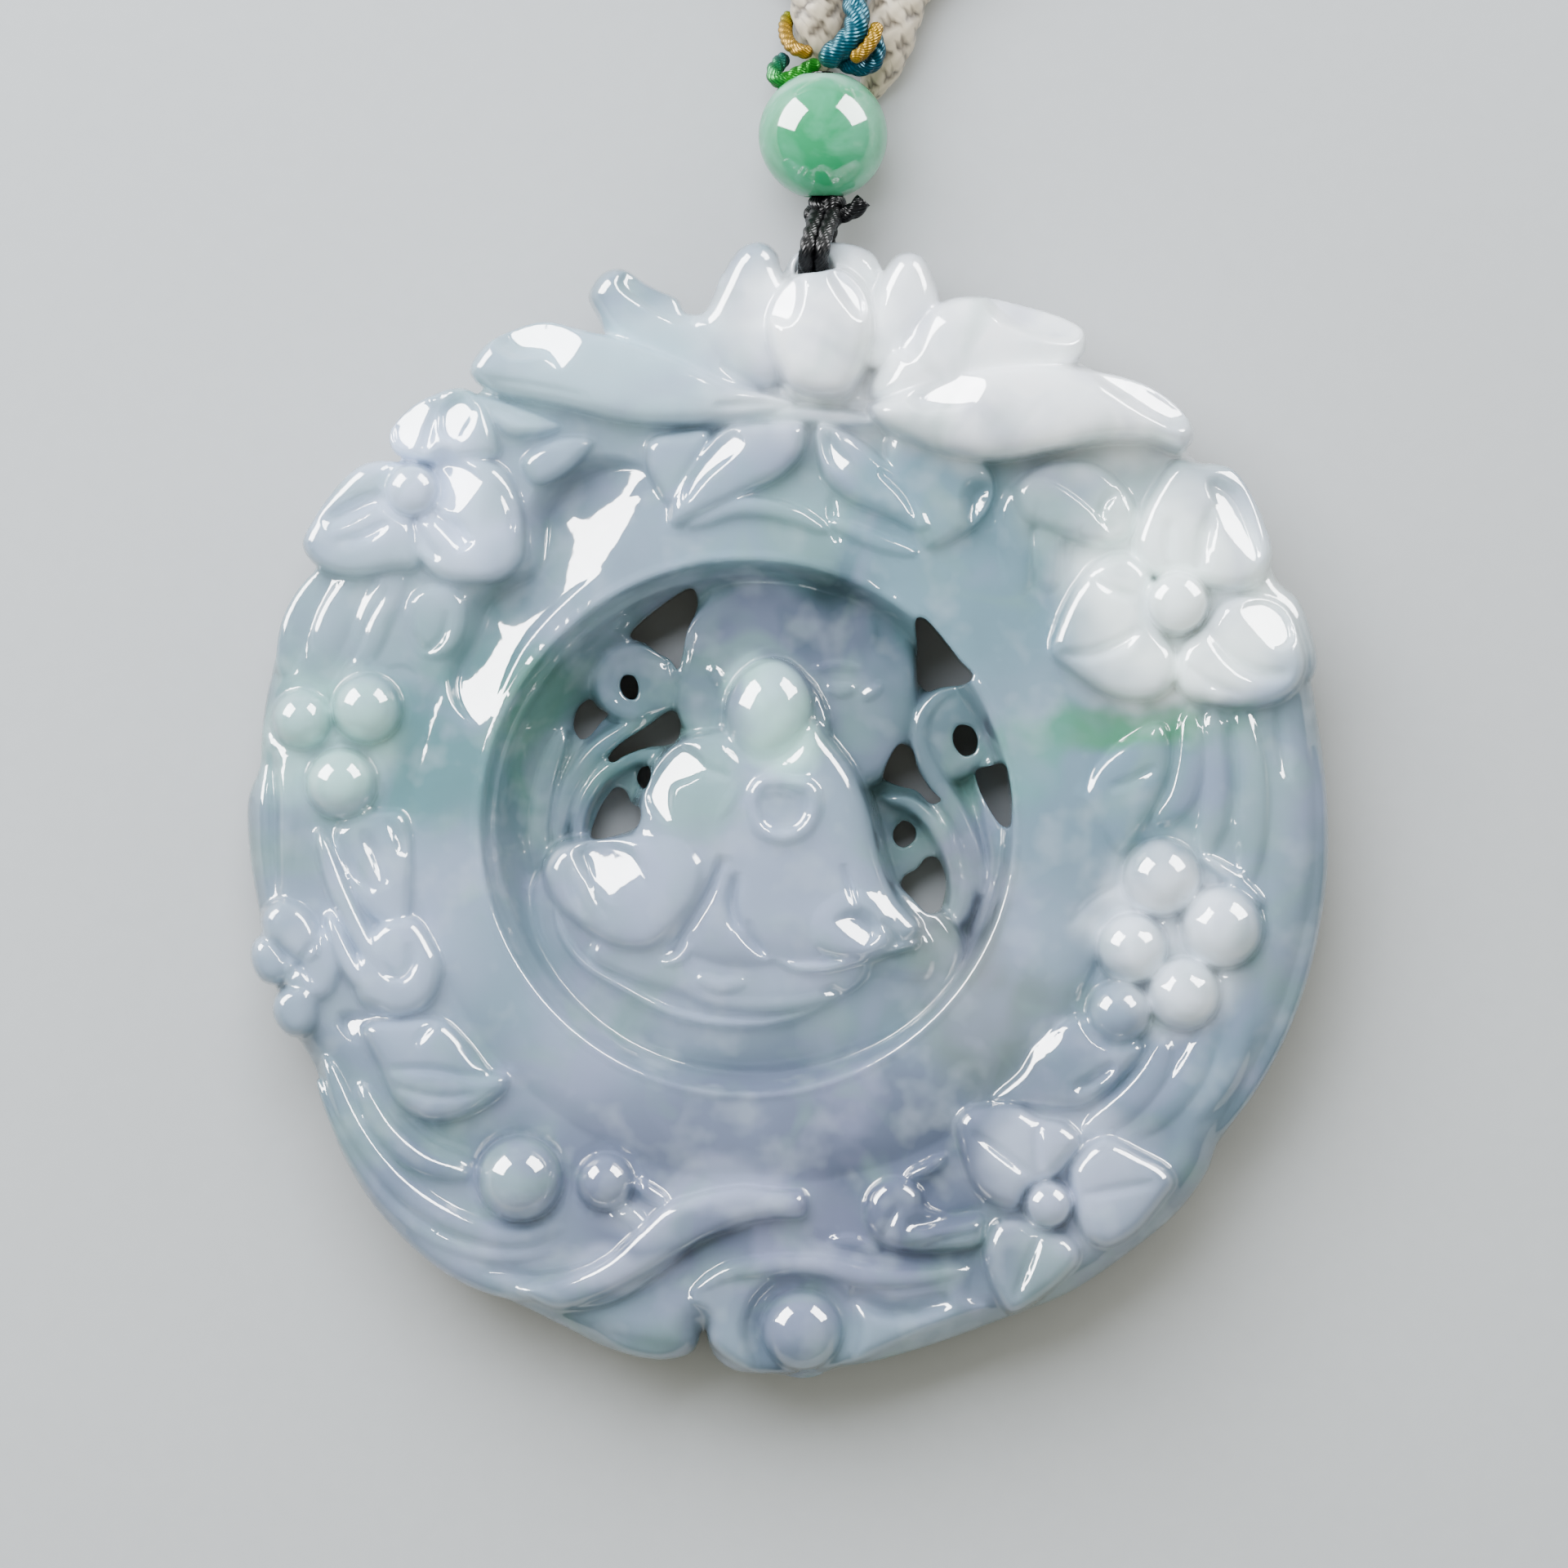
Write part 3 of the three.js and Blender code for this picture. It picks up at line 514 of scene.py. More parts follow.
CLOUDS: tuple[Cut, ...] = (
    Petal(((-10.6, 8.2), (-9.6, 9.6), (-8.0, 9.9), (-6.6, 9.0), (-5.6, 7.6), (-6.0, 6.3), (-7.8, 5.6),
           (-10.0, 6.2)), 3.2, 4.3, swell=1.2),
    Ridge(((-6.5, 8.9), (-7.9, 9.4), (-9.4, 8.9), (-9.9, 7.5), (-9.2, 6.3), (-7.9, 6.0), (-7.0, 6.9)), 0.9,
          3.9, 0.6),
    Ridge(((-6.2, 6.7), (-8.2, 5.4), (-10.4, 3.9), (-11.8, 1.8), (-12.4, -0.6)), 1.2, 3.4, 0.8),
    Ridge(((-6.4, 3.9), (-8.3, 3.7), (-10.1, 2.6), (-11.1, 0.9), (-11.3, -0.9)), 1.1, 3.2, 0.9),
    Ridge(((-12.0, 5.0), (-12.9, 2.6), (-13.3, 0.2), (-13.2, -2.4)), 1.2, 3.6, 0.7),
    Petal(((7.1, 5.0), (7.9, 6.7), (9.4, 7.4), (10.9, 6.4), (11.5, 4.4), (10.4, 3.2), (8.6, 2.4),
           (7.6, 3.4)), 3.2, 4.4, swell=1.1),
    Ridge(((9.8, 7.5), (8.2, 7.0), (7.2, 5.9), (7.1, 4.2), (7.9, 2.4), (9.2, 0.4), (10.0, -1.6),
           (10.3, -3.6)), 1.2, 3.9, 0.9),
    Ridge(((8.2, 1.3), (9.1, -0.6), (9.6, -2.6), (9.4, -4.4), (8.7, -5.6)), 1.0, 3.5, 0.9),
    Ridge(((5.2, 1.5), (6.6, 1.2), (7.9, 0.0), (8.8, -1.8), (9.0, -3.8), (8.4, -5.3)), 1.0, 3.3, 0.9),
    Ridge(((11.1, 4.2), (10.6, 2.4), (10.9, 0.4), (11.2, -1.6), (10.9, -3.8), (10.1, -6.2)), 1.0, 3.9, 0.7),
)

FIGURE: tuple[Cut, ...] = (
    Petal(((6.5, 4.8), (6.9, 7.6), (6.6, 10.4), (5.6, 12.6), (2.8, 14.2), (-0.6, 14.4), (-3.0, 13.4),
           (-4.2, 12.2), (-5.1, 11.1), (-5.6, 9.6), (-5.95, 7.9), (-5.7, 5.4), (-1.0, 2.0), (4.6, 2.2)),
          3.9, 5.3, swell=4.0, lean=(0.0, 0.05), blend=0.5),
    Ridge(((-5.9, 7.9), (-5.5, 10.1), (-4.3, 11.7), (-3.6, 12.8), (-2.6, 13.2)), 0.6, 4.6, 0.5, wall=1.5),
    Ridge(((1.0, 8.3), (2.6, 8.6), (4.1, 8.4)), 0.5, 5.1, 0.45),
    Ridge(((1.9, 7.5), (2.8, 7.2), (3.7, 7.4)), 0.8, 5.1, 0.45),
    Ridge(((3.8, 6.8), (4.6, 7.2), (5.0, 7.7)), 0.7, 5.0, 0.5),
    Ridge(((4.6, 9.6), (4.5, 10.6), (4.2, 11.4)), 0.5, 5.1, 0.4),
    Ridge(((-4.2, 8.6), (-3.7, 7.9), (-3.3, 7.6)), 0.8, 5.1, 0.45),
    Petal(((9.4, -6.8), (7.4, -10.2), (3.4, -12.3), (-2.2, -13.3), (-8.2, -12.0), (-12.0, -8.8),
           (-13.7, -5.4), (-13.4, -2.6), (-11.4, -1.4), (-2.0, -1.0), (6.0, -3.2), (8.6, -4.8)), 4.4, 6.0,
          swell=3.6, blend=0.5),
    Petal(((-12.6, -3.6), (-11.9, -6.0), (-9.6, -8.2), (-6.4, -9.9), (-2.0, -10.6), (1.8, -10.0),
           (4.6, -8.3), (7.6, -8.2), (7.9, -6.2), (6.4, -4.6), (0.0, -3.0), (-8.0, -3.0)), 5.2, 6.3,
          swell=1.2),
    Ridge(((-12.5, -3.4), (-12.1, -5.6), (-11.0, -7.2), (-8.8, -8.6), (-6.5, -9.8), (-4.2, -10.4),
           (-1.6, -10.5), (1.0, -9.9), (3.8, -8.2)), 0.5, 6.1, 0.45),
    Ridge(((-6.8, -7.9), (-4.6, -9.0), (-2.2, -9.4), (0.6, -9.3), (2.6, -8.7), (4.0, -8.0)), 1.0, 6.3, 0.6),
    Petal(((-10.6, -6.9), (-8.2, -8.3), (-4.6, -9.2), (-1.0, -9.5), (2.2, -8.9), (4.2, -7.9), (4.4, -5.0),
           (-8.0, -4.0)), 6.1, 6.9, swell=1.2, blend=0.15),
    Petal(((1.3, 5.8), (-1.0, 5.4), (-3.4, 5.2), (-5.6, 4.7), (-7.0, 3.5), (-7.8, 1.9), (-8.15, 0.4),
           (-8.6, -1.4), (-8.4, -4.6), (-7.0, -6.4), (-4.6, -7.5), (-2.6, -7.9), (-0.6, -7.7), (1.9, -7.6),
           (4.4, -7.0), (6.7, -6.3), (7.2, -5.4), (5.8, -3.6), (5.0, -1.6), (4.5, 0.6), (3.6, 2.9),
           (2.2, 4.8)), 5.4, 8.0, swell=3.4, lean=(0.02, 0.06), blend=0.2),
    Petal(((-13.1, -2.4), (-12.4, -1.1), (-10.9, -0.7), (-9.2, -0.5), (-7.4, -0.2), (-5.4, -0.6),
           (-4.3, -2.0), (-4.7, -3.9), (-5.8, -5.4), (-7.4, -6.6), (-9.4, -6.5), (-11.2, -5.4),
           (-12.5, -4.2)), 5.9, 8.0, swell=2.2, lean=(0.12, 0.0), blend=0.35),
    Facet(((-10.9, -1.3), (-9.6, -1.0), (-8.2, -1.6), (-7.5, -3.6), (-8.8, -4.3), (-10.2, -3.0)),
          (-9.0, -2.6), 7.5, (0.36, -0.34), blend=0.25),
    Groove(((-11.7, -1.8), (-11.5, -3.2), (-10.8, -4.8)), 0.45, 0.35),
    Groove(((-10.8, -1.5), (-10.4, -3.2), (-9.6, -4.9)), 0.4, 0.3),
    Ridge(((-9.6, -5.9), (-8.0, -5.7), (-6.6, -5.0), (-6.0, -4.2)), 0.7, 7.0, 0.35),
    Groove(((-3.8, -1.4), (-4.4, -3.4), (-5.6, -5.4), (-7.0, -6.8)), 0.8, 0.7, Side.LEFT),
    Petal(((5.6, -4.8), (4.4, -3.4), (2.6, -3.4), (1.2, -4.8), (1.4, -6.4), (3.2, -7.1), (5.4, -6.5)), 6.9,
          8.05, swell=1.9, blend=0.6),
    Ridge(((-1.1, -6.7), (0.1, -7.4), (1.9, -7.5), (4.3, -6.9), (6.8, -6.2)), 0.5, 7.0, 0.5),
    Groove(((-2.9, -2.6), (-3.1, -4.2), (-2.8, -5.6)), 0.6, 0.5),
    Groove(((-2.2, -5.0), (-1.7, -6.2), (-1.0, -7.0)), 0.45, 0.4),
    Ridge(((-6.7, -7.3), (-5.8, -7.0), (-5.1, -6.1)), 0.6, 6.8, 0.5),
    Ridge(((-4.9, -8.0), (-3.6, -8.5), (-2.2, -8.3)), 0.9, 6.8, 0.4),
    Ridge(((3.2, -5.2), (4.8, -4.9), (5.9, -6.2)), 0.6, 7.0, 0.4),
    Groove(((-5.4, 4.5), (-4.6, 3.2), (-3.0, 2.6)), 0.5, 0.35),
    Petal(((-7.3, 1.8), (-6.4, 3.2), (-5.4, 3.9), (-4.2, 3.2), (-3.9, 1.6), (-4.4, 0.2), (-5.6, -0.3),
           (-6.6, 0.4)), 6.9, 7.9, swell=1.4, blend=0.3),
    Facet(((-5.6, 4.1), (-4.4, 3.1), (-5.2, 2.6), (-6.2, 2.2), (-6.3, 1.0), (-6.0, -0.2), (-7.4, 1.6),
           (-6.6, 3.2)), (-6.2, 2.0), 7.3, (0.5, -0.36), blend=0.15),
    Ridge(((-2.9, 3.2), (-2.75, 2.2), (-3.2, 1.2), (-3.9, 0.2)), 0.9, 7.6, 0.7),
    Petal(((-2.3, 1.4), (-1.7, 2.6), (0.1, 2.8), (1.5, 2.3), (1.85, 1.0), (1.2, -0.4), (-0.3, -1.0),
           (-1.8, -0.4)), 8.0, 8.7, swell=0.6, hollow=0.5, lip=0.6, lean=(0.02, 0.06), wall=3.0,
          blend=0.08),
    Ridge(((-1.6, 1.7), (-0.5, 2.0), (0.4, 1.6)), 0.7, 8.1, 0.35),
    Ridge(((1.9, 3.0), (2.4, 1.9), (2.5, 0.6)), 1.1, 7.2, 0.6),
    Groove(((1.3, 3.1), (0.6, 2.7), (-0.6, 2.9)), 0.4, 0.3),
    Groove(((-3.3, -1.6), (-4.4, -3.6), (-5.6, -5.6), (-6.3, -7.2)), 0.4, 0.5),
    Groove(((-2.7, -2.4), (-2.9, -4.4), (-2.2, -5.9), (-1.2, -6.8)), 0.45, 0.6),
    Groove(((2.9, -2.0), (3.4, -3.6), (3.6, -4.4)), 0.35, 0.4),
    Groove(((4.9, -5.0), (5.5, -5.6), (6.0, -6.4)), 0.35, 0.5),
    Groove(((4.1, -7.1), (5.2, -6.9), (6.6, -6.5)), 0.45, 0.5),
    Facet(((-0.4, -9.9), (1.6, -9.5), (2.9, -9.0), (2.4, -8.7), (0.8, -9.2)), (2.2, -9.0), 6.6,
          (-0.5, -0.5), blend=0.1),
    Facet(((2.3, -5.1), (3.7, -4.8), (4.5, -5.8), (3.9, -6.5), (2.6, -6.1)), (3.4, -5.6), 7.8, (-0.5, -0.5),
          blend=0.12),
    Petal(((1.9, 6.4), (2.2, 5.2), (1.5, 3.9), (0.2, 3.1), (-1.8, 2.9), (-3.0, 3.6), (-3.4, 5.2),
           (-2.6, 7.2), (-0.8, 8.6), (0.9, 8.0)), 6.3, 6.8, swell=1.0, blend=0.3),
    Berry((-1.03, 6.12), 2.3, 6.9, radius_y=2.8, lean=-0.25, height=2.3, groove=0.3),
)

LOTUS: tuple[Cut, ...] = (
    Petal(((15.0, 20.2), (12.5, 22.5), (9.0, 25.0), (6.0, 27.6), (2.0, 28.6), (-2.6, 28.2), (-6.0, 26.0),
           (-11.0, 24.0), (-15.0, 22.2), (-12.0, 21.0), (0.0, 19.6), (10.0, 19.4)), 5.0, 6.9, swell=3.0),
    Petal(((-0.3, 29.3), (0.3, 30.6), (1.6, 31.2), (3.4, 31.15), (4.6, 30.6), (5.1, 29.5), (5.2, 26.5),
           (2.6, 24.6), (-0.2, 26.0)), 5.0, 6.4, swell=1.4),
    Ridge(((3.3, 30.4), (4.1, 29.9), (4.6, 29.1)), 0.6, 6.3, 0.35),
    Petal(((-5.4, 27.3), (-4.6, 27.4), (-3.9, 28.6), (-3.0, 30.4), (-2.2, 31.1), (-1.2, 31.15),
           (-0.5, 30.5), (-0.4, 29.9), (0.2, 28.4), (0.3, 24.2), (-2.4, 23.2), (-4.8, 25.2)), 6.1, 8.7,
          swell=2.2),
    Ridge(((-3.5, 29.2), (-3.1, 28.2), (-2.7, 27.0)), 1.1, 7.5, 0.6),
    Petal(((8.1, 27.9), (7.8, 29.2), (7.3, 30.3), (6.6, 30.65), (5.8, 30.5), (5.2, 29.8), (4.3, 27.4),
           (4.2, 24.4), (7.6, 25.0)), 6.2, 8.8, swell=1.9),
    Ridge(((5.1, 27.6), (5.8, 28.6), (6.4, 29.6)), 0.8, 7.9, 0.5),
    Petal(((-4.4, 27.1), (-5.5, 27.5), (-5.8, 28.1), (-7.4, 28.9), (-8.9, 29.8), (-10.0, 29.5),
           (-10.7, 28.3), (-10.2, 27.2), (-9.7, 26.2), (-7.0, 24.2), (-4.0, 22.8), (-1.4, 22.8),
           (-2.6, 25.0)), 5.8, 8.5, swell=2.0, lean=(0.03, 0.0)),
    Facet(((-8.8, 28.9), (-5.2, 26.8), (-4.9, 27.6), (-8.2, 29.6)), (-7.0, 28.2), 7.5, (-0.2, -0.5)),
    Groove(((-9.8, 26.9), (-9.4, 26.0), (-8.6, 25.6)), 0.5, 0.4),
    Petal(((15.1, 24.5), (15.9, 25.5), (15.8, 26.4), (15.0, 27.0), (12.5, 27.8), (10.0, 28.3), (8.2, 28.0),
           (6.4, 26.6), (5.0, 24.8), (4.3, 22.8), (8.0, 22.2), (12.0, 23.4)), 6.6, 10.0, swell=3.0,
          lean=(0.02, 0.0)),
    Facet(((10.8, 28.2), (15.4, 26.9), (15.2, 26.2), (12.0, 27.0)), (13.0, 27.3), 8.0, (-0.1, -0.55)),
    Facet(((5.9, 25.4), (7.4, 27.4), (7.0, 26.4), (6.4, 25.2)), (6.6, 26.2), 8.3, (0.5, -0.3)),
    Petal(((0.5, 22.4), (-3.0, 23.6), (-6.0, 25.0), (-9.0, 26.0), (-11.0, 26.5), (-13.0, 26.9),
           (-14.8, 26.4), (-16.2, 25.6), (-17.0, 24.2), (-16.0, 23.2), (-12.0, 22.3), (-8.6, 21.5),
           (-6.0, 21.3), (-3.0, 21.6)), 7.4, 9.6, swell=2.3, roundness=3.2),
    Facet(((-14.9, 26.2), (-13.0, 26.9), (-10.6, 26.4), (-9.2, 25.5), (-11.0, 24.5), (-12.0, 24.2),
           (-12.8, 25.2), (-14.4, 25.5)), (-12.4, 25.7), 8.75, (0.48, -0.42), blend=0.12),
    Groove(((-16.8, 24.0), (-14.0, 23.7), (-10.5, 23.0)), 0.5, 0.3, Side.RIGHT),
    Petal(((20.9, 19.9), (21.6, 20.6), (21.5, 21.4), (20.5, 22.6), (18.6, 23.7), (15.4, 24.4), (12.0, 24.6),
           (8.6, 24.1), (5.8, 23.1), (4.2, 22.2), (5.2, 21.0), (7.6, 19.9), (10.4, 19.4), (14.0, 19.9),
           (17.0, 20.4), (19.2, 20.4)), 7.6, 11.0, swell=2.4, roundness=3.0),
    Facet(((7.0, 22.7), (8.6, 23.7), (10.4, 24.0), (11.8, 23.5), (10.6, 22.7), (8.6, 22.3)), (9.4, 23.2),
          10.35, (0.5, -0.4), blend=0.15),
    Facet(((16.0, 24.3), (18.6, 23.5), (21.0, 21.8), (20.4, 21.6), (17.6, 23.2)), (18.6, 23.0), 9.4,
          (-0.3, -0.42)),
    Petal(((4.2, 24.8), (4.5, 26.6), (4.2, 28.2), (3.2, 29.4), (2.2, 29.7), (0.8, 29.5), (-0.6, 28.3),
           (-1.2, 26.6), (-0.9, 25.0), (0.2, 23.2), (3.0, 22.9)), 8.3, 11.0, swell=2.4, blend=0.12),
    Facet(((-1.2, 27.4), (0.3, 29.0), (0.4, 27.6), (0.0, 26.8)), (-0.1, 28.0), 9.7, (0.42, -0.36),
          blend=0.15),
    Facet(((2.4, 29.4), (3.8, 28.2), (3.9, 27.2), (3.2, 28.0)), (3.2, 28.4), 9.6, (-0.45, -0.4),
          blend=0.15),
    Groove(((-4.0, 22.3), (-1.0, 22.45), (2.0, 22.2), (5.0, 22.0)), 0.5, 0.7),
    Ridge(((-4.6, 21.6), (-1.0, 21.9), (2.0, 21.8), (4.8, 21.5)), 0.7, 8.0, 0.5),
    Groove(((-3.6, 24.6), (-2.2, 23.8), (-1.2, 23.4)), 0.5, 0.35),
    Groove(((-0.6, 24.9), (-0.5, 23.8), (-0.8, 22.9)), 0.45, 0.4),
    Groove(((4.0, 24.2), (4.0, 23.4), (3.8, 22.8)), 0.45, 0.4),
)

UNDER_LOTUS: tuple[Cut, ...] = (
    Petal(((-4.2, 21.0), (-5.6, 21.0), (-7.4, 20.5), (-7.5, 19.2), (-7.1, 18.2), (-6.3, 17.1),
           (-5.4, 18.4)), 7.7, 8.6, swell=1.0),
    Petal(((11.0, 18.0), (10.6, 19.2), (8.6, 20.2), (5.4, 20.8), (5.4, 18.0), (6.6, 15.6), (7.4, 14.6),
           (9.2, 15.4), (10.5, 16.6)), 7.3, 8.6, swell=1.6),
    Facet(((10.1, 17.8), (10.9, 17.9), (10.4, 16.4), (9.8, 15.9)), (10.4, 17.0), 7.9, (0.5, -0.4)),
    Petal(((0.8, 21.4), (-1.4, 21.5), (-3.4, 21.2), (-5.1, 19.3), (-6.2, 17.4), (-6.2, 16.0), (-4.4, 16.6),
           (-2.0, 17.8), (-0.4, 18.6), (0.8, 20.0)), 7.8, 9.0, swell=1.8),
    Facet(((-2.8, 20.8), (-2.4, 20.3), (-4.4, 18.6), (-5.4, 17.4), (-5.0, 18.6)), (-4.0, 19.2), 8.5,
          (0.5, -0.4)),
    Petal(((1.6, 21.4), (1.5, 20.0), (2.0, 18.4), (3.2, 17.3), (5.4, 16.4), (7.0, 15.6), (7.8, 15.7),
           (7.3, 17.0), (5.8, 18.8), (3.8, 20.6)), 7.8, 9.0, swell=1.6),
    Facet(((2.2, 20.6), (2.6, 20.0), (3.8, 18.8), (3.2, 18.6), (2.3, 19.4)), (2.8, 19.6), 8.55,
          (0.5, -0.4)),
    Groove(((4.8, 19.0), (6.2, 17.6), (7.0, 16.0)), 0.4, 0.5),
    Groove(((2.3, 17.6), (2.4, 16.2), (2.7, 15.0)), 0.4, 0.4),
    Ridge(((-5.2, 16.0), (-2.6, 17.0), (0.2, 16.6), (2.0, 15.7)), 1.0, 8.1, 0.5),
    Ridge(((2.3, 16.2), (4.6, 15.2), (6.8, 14.5)), 0.9, 8.0, 0.4),
    Petal(((-10.3, 20.5), (-12.0, 20.8), (-14.2, 19.4), (-13.4, 18.1), (-11.6, 18.9)), 7.0, 8.2, swell=0.9),
    Petal(((-12.0, 21.3), (-13.8, 22.2), (-16.7, 23.0), (-15.8, 21.6), (-14.8, 20.7)), 7.0, 8.3, swell=0.9),
    Groove(((-16.0, 22.4), (-14.2, 21.7), (-12.6, 21.4)), 0.4, 0.4),
    Petal(((18.7, 16.4), (18.0, 18.0), (16.2, 19.4), (13.4, 19.2), (12.0, 18.0), (12.4, 16.4), (14.0, 15.6),
           (16.4, 14.9), (18.0, 15.2)), 7.0, 8.5, swell=1.6),
    Groove(((12.4, 18.8), (14.4, 18.0), (16.2, 16.6), (17.4, 15.0)), 0.5, 0.45, Side.LEFT),
    Groove(((17.6, 17.8), (16.8, 17.2), (16.6, 16.2)), 0.5, 0.35),
    Ridge(((12.6, 18.4), (12.0, 16.0), (12.4, 12.6)), 1.8, 7.3, 0.45, wall=1.2, blend=0.35),
    Ridge(((14.4, 17.4), (13.8, 15.4), (13.9, 12.8)), 1.5, 7.3, 0.5, wall=1.4, blend=0.3),
    Groove(((13.2, 17.6), (12.9, 15.6), (13.2, 13.0)), 0.35, 0.35, Side.LEFT),
    Groove(((15.6, 16.2), (15.0, 14.8), (15.0, 13.6)), 0.35, 0.35, Side.LEFT),
    Groove(((11.2, 16.8), (11.0, 15.2), (11.6, 13.2)), 0.35, 0.25, Side.LEFT),
)

UPPER_LEFT_FLOWER: tuple[Cut, ...] = (
    Petal(((-15.4, 19.8), (-15.6, 21.4), (-16.3, 22.8), (-17.4, 23.4), (-19.2, 22.9), (-20.6, 21.9),
           (-21.3, 20.8), (-21.0, 19.9), (-19.6, 19.4), (-17.4, 19.4)), 7.2, 8.8, swell=1.9),
    Groove(((-18.2, 23.2), (-18.9, 21.6), (-19.4, 19.8)), 0.9, 0.8),
    Groove(((-16.6, 22.4), (-17.0, 21.4), (-17.6, 20.4)), 0.5, 0.4),
    Petal(((-20.4, 19.2), (-21.2, 19.5), (-22.7, 19.3), (-24.0, 18.2), (-25.3, 16.4), (-25.9, 15.0),
           (-25.1, 13.8), (-23.2, 13.2), (-21.2, 13.5), (-19.7, 13.8), (-19.8, 16.4)), 7.2, 8.75,
          swell=2.1),
    Groove(((-21.5, 17.6), (-23.0, 16.9), (-24.7, 16.0)), 0.9, 0.75),
    Groove(((-21.2, 16.2), (-22.6, 15.4), (-24.0, 15.1)), 0.6, 0.45),
    Petal(((-18.4, 19.5), (-16.8, 19.6), (-15.3, 19.2), (-14.3, 17.6), (-14.0, 15.6), (-14.2, 14.0),
           (-15.3, 13.1), (-17.2, 12.9), (-18.6, 13.2), (-19.5, 14.0), (-20.1, 15.6), (-19.6, 17.2)), 7.4,
          8.8, swell=2.3),
    Groove(((-19.0, 17.0), (-17.8, 15.9), (-17.0, 14.8)), 0.9, 0.8),
    Groove(((-19.9, 16.2), (-19.2, 14.9), (-18.5, 14.2)), 0.6, 0.5),
    Groove(((-15.6, 18.0), (-15.0, 16.8), (-14.8, 15.6)), 0.45, 0.3, Side.LEFT),
    Facet(((-18.5, 19.2), (-17.0, 19.0), (-16.0, 17.8), (-16.4, 16.4), (-17.6, 16.2), (-18.5, 17.6)),
          (-17.3, 17.6), 8.45, (0.5, -0.4), blend=0.12),
    Facet(((-20.8, 21.3), (-19.3, 22.6), (-18.9, 21.2), (-19.6, 20.1), (-20.6, 20.3)), (-19.8, 21.0), 8.2,
          (0.5, -0.4), blend=0.12),
    Facet(((-18.2, 22.2), (-17.2, 22.6), (-16.6, 21.4), (-17.4, 20.4), (-18.2, 20.8)), (-17.5, 21.3), 8.3,
          (0.5, -0.4), blend=0.12),
    Berry((-20.0, 17.9), 1.35, 8.4, height=1.2, groove=0.5),
)

UPPER_RIGHT_FLOWER: tuple[Cut, ...] = (
    Petal(((28.3, 8.6), (28.1, 10.0), (27.3, 12.1), (26.2, 13.1), (25.4, 14.4), (24.0, 12.4), (25.0, 8.8),
           (26.9, 7.7), (27.9, 7.7)), 5.2, 7.4, swell=1.6),
    Petal(((25.8, 14.4), (25.3, 16.4), (24.4, 18.0), (23.2, 19.2), (21.9, 19.4), (20.6, 19.5), (19.4, 18.0),
           (18.6, 16.2), (18.3, 14.6), (19.2, 13.4), (22.0, 12.8), (24.8, 12.8)), 7.4, 9.1, swell=2.4),
    Ridge(((21.6, 18.6), (23.2, 18.8), (24.6, 16.8), (25.3, 14.6)), 0.9, 8.0, 0.6),
    Groove(((21.9, 13.6), (22.2, 15.4), (22.6, 17.2)), 0.8, 0.5),
    Groove(((20.4, 13.8), (20.2, 15.0), (20.3, 16.4)), 0.6, 0.35),
    Petal(((13.9, 9.2), (14.4, 11.2), (15.3, 12.9), (16.5, 14.2), (17.9, 14.6), (19.1, 13.8), (19.7, 12.0),
           (19.9, 10.4), (20.6, 9.2), (20.7, 8.0), (19.9, 7.0), (18.3, 6.7), (16.6, 7.2), (15.1, 8.2)), 7.5,
          9.1, swell=2.5),
    Groove(((14.3, 9.2), (15.8, 9.1), (17.4, 9.6), (18.8, 10.6)), 0.6, 0.5),
    Groove(((16.0, 13.4), (17.2, 12.6), (18.6, 12.2)), 0.5, 0.3),
    Petal(((20.6, 8.0), (20.9, 9.6), (22.0, 10.6), (23.2, 12.0), (24.8, 12.3), (26.4, 11.7), (27.2, 10.2),
           (27.5, 8.4), (26.7, 7.0), (25.4, 6.4), (22.8, 6.4), (21.1, 6.9)), 7.4, 9.0, swell=2.3),
    Groove(((22.3, 10.6), (23.3, 9.2), (24.6, 8.2), (26.8, 8.1)), 0.7, 0.6),
    Groove(((21.2, 8.6), (22.4, 7.6), (24.2, 7.0)), 0.5, 0.3),
    Facet(((24.0, 11.5), (25.2, 11.9), (26.3, 11.2), (26.6, 9.9), (25.6, 9.5), (24.6, 10.4)), (25.3, 10.8),
          8.45, (-0.55, -0.5), blend=0.12),
    Facet(((22.5, 18.2), (23.6, 17.6), (24.5, 15.8), (24.9, 14.2), (24.0, 14.3), (23.2, 16.0)),
          (23.8, 16.2), 8.5, (-0.55, -0.45), blend=0.12),
    Berry((20.7, 11.9), 1.6, 8.8, height=1.2, groove=0.5),
)

